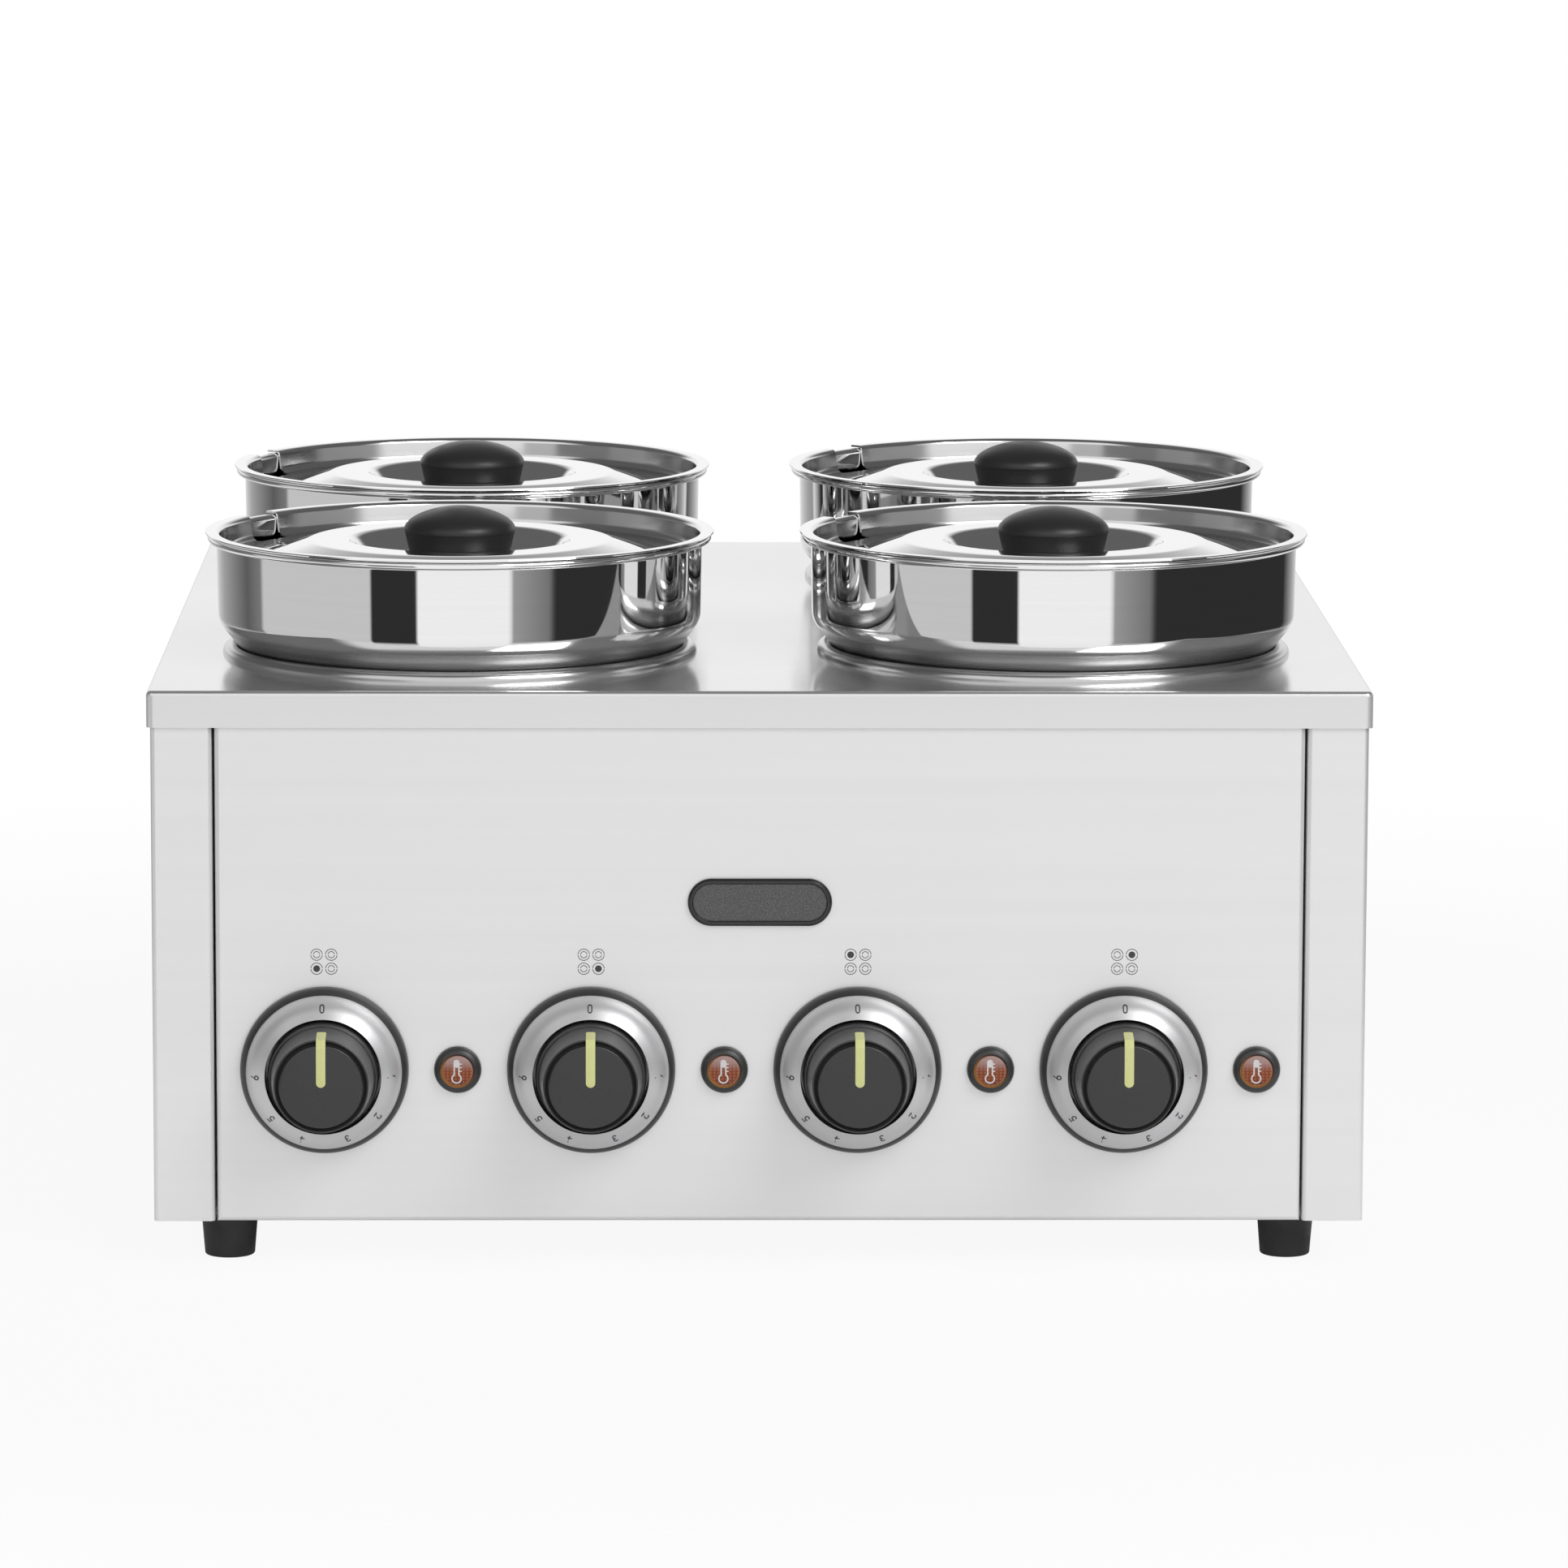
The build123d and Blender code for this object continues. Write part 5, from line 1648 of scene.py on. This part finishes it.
@dataclass
class FrontFace:
    """What the front panel carries: dials, lamps, place signs and the bare badge."""

    finishes: Finishes
    controls: list[Control]
    sign_height: float = 44.8
    sign_pitch: tuple[float, float] = (6.0, 5.8)
    ring_radius: float = 2.35
    ring_stroke: float = 0.3
    inner_radius: float = 1.3
    dot_radius: float = 1.4
    ring_gap: float = 7.0
    ring_print: float = 0.03
    badge_rim: float = 2.2
    badge_face: float = 0.5
    badge_bevel: float = 0.9
    badge_step: float = 0.35
    badge_groove: float = 0.15
    badge_rounds: tuple[float, ...] = (0.5, 0.6, 0.25, 0.1, 0.1)
    badge_side_points: int = 13
    badge_end_points: int = 33
    lens_sharp: float = 60.0
    panel: float = field(init=False)
    lamps: list[Lamp] = field(init=False)

    def __post_init__(self) -> None:
        """Reads the panel's face and the lamps' places from the frame."""
        self.panel = extent_of("front_panel")[0][1]
        low, _, high = extent_of("lamp_holders")
        places = np.linspace(low[0] + Lamp.radius, high[0] - Lamp.radius, len(self.controls))
        height = self.controls[0].seat.origin[2]
        self.lamps = [Lamp(float(x), height, self.panel) for x in places]

    def build(self) -> None:
        """Makes the dials, lamps, signs and badge."""
        rims, scales = ([make(each) for each in self.controls] for make in (Control.rim, Control.scale))
        lamp_rims, lenses = ([make(each) for each in self.lamps] for make in (Lamp.rim, Lamp.lens))
        solid = (
            ("dial_rims", rims, "black_gloss", "dial_bezels"),
            ("dial_faces", scales, "scale_silver", "dial_scales"),
            ("lamp_rims", lamp_rims, "black_gloss", "lamp_holders"),
            ("lamp_caps", lenses, "lens_amber", "lamp_lenses"),
            ("badge_frame", [self.badge()], "badge_grey", "badge_plate"),
        )
        for name, grids, slot, node in solid:
            sharp = self.lens_sharp if slot == "lens_amber" else SHARP
            add_piece(name, grids, self.finishes.by_slot[slot], "housing", slot, node, sharp=sharp)
        numbers = [grid for control in self.controls for grid in control.numbers()]
        signs = [grid for lamp in self.lamps for grid in lamp.sign()]
        rings, dots = self.place_signs()
        printed = (
            ("dial_numbers", numbers, self.finishes.dark_ink, "black_satin"),
            ("lamp_signs", signs, self.finishes.white_ink, "lens_amber"),
            ("place_rings", rings, self.finishes.faint_ink, "black_satin"),
            ("place_dots", dots, self.finishes.dark_ink, "black_satin"),
        )
        for name, grids, ink, slot in printed:
            add_piece(name, grids, ink, "housing", slot)

    def place_signs(self) -> tuple[list[Grid], list[Grid]]:
        """Signs over the knobs: a ring for each pot, broken at its sides, and a dot in the heated one."""

        def on_panel(plane: Array, height: Array) -> Array:
            """Plane points on the panel's face."""
            return np.column_stack([plane, height])

        heated = [(-1, -1), (1, -1), (-1, 1), (1, 1)]
        rings, dots = [], []
        for control, marked in zip(self.controls, heated):
            x, _, z = control.seat.origin
            seat = Seat((x, self.panel, z + self.sign_height), Facing.FORWARD)
            for side in heated:
                centre = (side[0] * self.sign_pitch[0] / 2, side[1] * self.sign_pitch[1] / 2)
                radii = [self.ring_radius] if side == marked else [self.ring_radius, self.inner_radius]
                for radius in radii:
                    gap = self.ring_gap * self.ring_radius / radius
                    for start in (gap, 180 + gap):
                        line = arc(centre, radius, start, start + 180 - 2 * gap, steps=24)
                        rings.append(stroke(line, self.ring_stroke, on_panel, self.ring_print).placed(seat))
                if side == marked:
                    dots.append(disc(centre, self.dot_radius, on_panel, self.ring_print).placed(seat))
        return rings, dots

    def badge(self) -> Grid:
        """Badge: a section of offset and depth carried round a pill, from its back over the rim to its face.

        The pill is a half circle at each end. Each ring of the grid is the pill moved inwards, and the last
        one has shrunk to the line between the two middles.
        """
        low, middle, high = extent_of("badge_plate")
        half_height = (high[2] - low[2]) / 2
        half_length = (high[0] - low[0]) / 2 - half_height
        depth = high[1] - low[1]
        side = np.linspace(-half_length, half_length, self.badge_side_points)
        right = np.radians(np.linspace(90, -90, self.badge_end_points))
        up, ends = np.full_like(side, pi / 2), np.full_like(right, half_length)
        middles = np.concatenate([side, ends, side[::-1], -ends, side[:1]])
        angles = np.concatenate([up, right, -up, right + pi, up[:1]])
        face, inner = depth - self.badge_face, half_height - self.badge_rim
        rim = rounded(
            [
                (half_height, 0.0),
                (half_height, depth - self.badge_bevel),
                (half_height - self.badge_bevel, depth),
                (inner + self.badge_step, depth),
                (inner, face - self.badge_groove),
                (inner - self.badge_step, face),
                (0.0, face),
            ],
            list(self.badge_rounds),
            steps=5,
        )
        section = np.concatenate([[(0.0, 0.0)], rim])
        reach, height = section[:, :1], section[:, 1:]
        across, page = middles + reach * np.cos(angles), reach * np.sin(angles)
        points = np.stack([across, page, height * np.ones_like(angles)], axis=-1)
        seat = Seat((middle[0], self.panel, middle[2]), Facing.FORWARD)
        return Grid.plain(points, (reach > inner).astype(float)).placed(seat)


@dataclass
class Studio:
    """Camera, lamp, pale floor and the soft surroundings that the steel mirrors.

    Places and the floor's radius are millimetres, and the floor's fades, the lamp's size and the camera's
    reach are metres. Bands are degrees round the object from the front to the right, each with a shade,
    and overhead stops are sines of the angle over the horizon, each with a shade.
    """

    camera_place: Point = (-47.3, -3525.55, 705.4)
    yaw: float = 0.994
    pitch: float = 8.714
    roll: float = 0.181
    lens: float = 187.1
    camera_reach: float = 100.0
    floor_radius: float = 1250.0
    floor_steps: tuple[int, int] = (64, 8)
    floor_fade: tuple[float, float] = (0.5, 1.2)
    floor_grey: float = 0.86
    floor_white: float = 0.92
    floor_mirrored: tuple[float, float] = (0.22, 0.45)
    key_place: Point = (1500.0, -1900.0, 2300.0)
    key_aim: Point = (0.0, 0.0, 200.0)
    key_size: float = 1.6
    key_power: float = 38.0
    low_bands: Stops = (
        (-180, 0.9), (-150, 0.4), (-120, 0.12), (-108, 0.22), (-106, 0.63), (-42, 0.63), (-41, 0.03),
        (-19.5, 0.03), (-18.5, 1.0), (25, 1.0), (26, 0.36), (44, 0.2), (47, 0.03), (140, 0.03),
        (160, 0.5), (180, 0.9),
    )
    high_bands: Stops = (
        (-180, 1.0), (-150, 1.0), (-138, 0.2), (-104, 0.2), (-100, 0.3), (-77, 0.3), (-75, 0.22),
        (-45, 0.22), (-43, 0.58), (-27, 0.58), (-25, 1.0), (48, 1.0), (54, 0.38), (86, 0.32),
        (94, 0.1), (120, 0.06), (145, 0.9), (180, 1.0),
    )
    overhead_front: Stops = ((0.0, 1.0), (0.72, 1.0), (0.8, 0.35), (0.9, 0.12), (1.0, 0.1))
    overhead_side: float = 0.13
    overhead_back: Stops = (
        (0.0, 1.0), (0.2, 1.0), (0.3, 0.82), (0.39, 0.63), (0.52, 0.45), (0.64, 0.32), (0.8, 0.18),
        (0.9, 0.12), (1.0, 0.1),
    )
    horizon: tuple[float, float] = (-0.05, 0.08)
    overhead: tuple[float, float] = (0.16, 0.3)
    side_zone: tuple[float, float] = (50, 65)
    back_zone: tuple[float, float] = (146, 168)

    def build(self) -> None:
        """Sets the stage."""
        self.add_camera()
        self.add_floor()
        self.add_key()
        self.add_surroundings()
        bpy.context.scene.view_settings.view_transform = "Standard"

    def add_camera(self) -> None:
        """Puts the camera where the photograph was taken."""
        data = bpy.data.cameras.new("camera")
        data.lens = self.lens
        data.clip_end = self.camera_reach
        camera = bpy.data.objects.new("camera", data)
        turn = Matrix.Rotation(radians(-self.yaw), 4, "Z") @ Matrix.Rotation(radians(90 - self.pitch), 4, "X")
        turn = turn @ Matrix.Rotation(radians(self.roll), 4, "Z")
        camera.matrix_world = Matrix.Translation([value * MM for value in self.camera_place]) @ turn
        bpy.context.scene.collection.objects.link(camera)
        bpy.context.scene.camera = camera

    def add_floor(self) -> None:
        """Pale round floor that fades into the white surroundings, and keeps the object's shadow."""
        round_steps, out_steps = self.floor_steps
        turn = np.linspace(0, 2 * pi, round_steps + 1)
        radius = np.linspace(0, self.floor_radius, out_steps + 1)
        across, away = np.outer(radius, np.cos(turn)), np.outer(radius, np.sin(turn))
        grid = Grid.plain(np.stack([across, away, np.zeros_like(across)], axis=-1))
        floor = make_piece("floor", [grid], self.floor_material())

    def floor_material(self) -> bpy.types.Material:
        """Matt pale floor; seen by the camera it is mostly plain white, so that its shadow is light."""
        material, wiring, shader = new_material("floor")
        tree = wiring.tree
        tree.nodes.remove(shader)
        distance = wiring.length(wiring.place())
        rays = wiring.add("ShaderNodeLightPath").outputs
        far = wiring.step(distance, *self.floor_mirrored)
        mirrored = wiring.math("MULTIPLY", rays["Is Glossy Ray"], far)
        seen = wiring.math("MAXIMUM", rays["Is Camera Ray"], mirrored)
        matt = wiring.feed(wiring.add("ShaderNodeBsdfDiffuse"), Color=grey(self.floor_grey))
        white = wiring.feed(wiring.add("ShaderNodeEmission"), Color=grey(1.0), Strength=1.0)
        clear = wiring.add("ShaderNodeBsdfTransparent")
        lit, faded = wiring.add("ShaderNodeMixShader"), wiring.add("ShaderNodeMixShader")
        shares = (wiring.math("MULTIPLY", seen, self.floor_white), wiring.step(distance, *self.floor_fade))
        mixes = ((lit, shares[0], matt, white), (faded, shares[1], lit, clear))
        for mix, share, first, second in mixes:
            for socket, value in zip(mix.inputs, (share, first.outputs[0], second.outputs[0])):
                tree.links.new(value, socket)
        tree.links.new(faded.outputs[0], tree.nodes["Material Output"].inputs["Surface"])
        return material

    def add_key(self) -> None:
        """Large soft lamp, high at the front right."""
        data = bpy.data.lights.new("key", "AREA")
        data.size = self.key_size
        data.energy = self.key_power
        lamp = bpy.data.objects.new("key", data)
        place = np.array(self.key_place) * MM
        aim = np.array(self.key_aim) * MM - place
        level = sqrt(aim[0] ** 2 + aim[1] ** 2)
        tilt = Matrix.Rotation(atan2(level, -aim[2]), 4, "X")
        turn = Matrix.Rotation(atan2(-aim[0], aim[1]), 4, "Z")
        lamp.matrix_world = Matrix.Translation(place) @ turn @ tilt
        bpy.context.scene.collection.objects.link(lamp)

    def add_surroundings(self) -> None:
        """Soft studio by direction: pale cards and dark gaps in front, white behind and to the camera."""
        world = bpy.data.worlds.new("studio")
        bpy.context.scene.world = world
        world.use_nodes = True
        wiring = Wiring(world.node_tree)
        direction = wiring.add("ShaderNodeTexCoord").outputs["Generated"]
        split = wiring.split(direction)
        ahead = wiring.math("MULTIPLY", split["Y"], -1.0)
        azimuth = wiring.math("ARCTAN2", split["X"], ahead)
        share = wiring.math("MULTIPLY_ADD", azimuth, 0.5 / pi, 0.5)
        low, high = (
            wiring.ramp(share, tuple((angle / 360 + 0.5, shade) for angle, shade in bands))
            for bands in (self.low_bands, self.high_bands)
        )
        rise = split["Z"]
        around = wiring.blend(wiring.step(rise, *self.horizon), low, high)
        turn = wiring.math("ABSOLUTE", azimuth)
        front, back = (wiring.ramp(rise, stops) for stops in (self.overhead_front, self.overhead_back))
        to_side, to_back = (wiring.step(turn, *np.radians(zone)) for zone in (self.side_zone, self.back_zone))
        aside = wiring.blend(to_side, front, grey(self.overhead_side))
        above = wiring.blend(to_back, aside, back)
        studio = wiring.blend(wiring.step(rise, *self.overhead), around, above)
        camera_ray = wiring.add("ShaderNodeLightPath").outputs["Is Camera Ray"]
        shown = wiring.blend(camera_ray, studio, grey(1.0))
        background = world.node_tree.nodes["Background"]
        wiring.feed(background, Color=shown, Strength=1.0)


def main() -> None:
    """Builds every sub-assembly around the frame."""
    logging.basicConfig(level=logging.INFO, format="%(message)s")
    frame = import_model()
    finishes = Finishes()
    finishes.dress(frame)
    for place, angle in NOTCH_ANGLES.items():
        Cooker(place, finishes, angle).build()
    controls = [Control(number, finishes) for number in (1, 2, 3, 4)]
    for control in controls:
        control.build()
    FrontFace(finishes, controls).build()
    Studio().build()


if __name__ == "__main__":
    main()
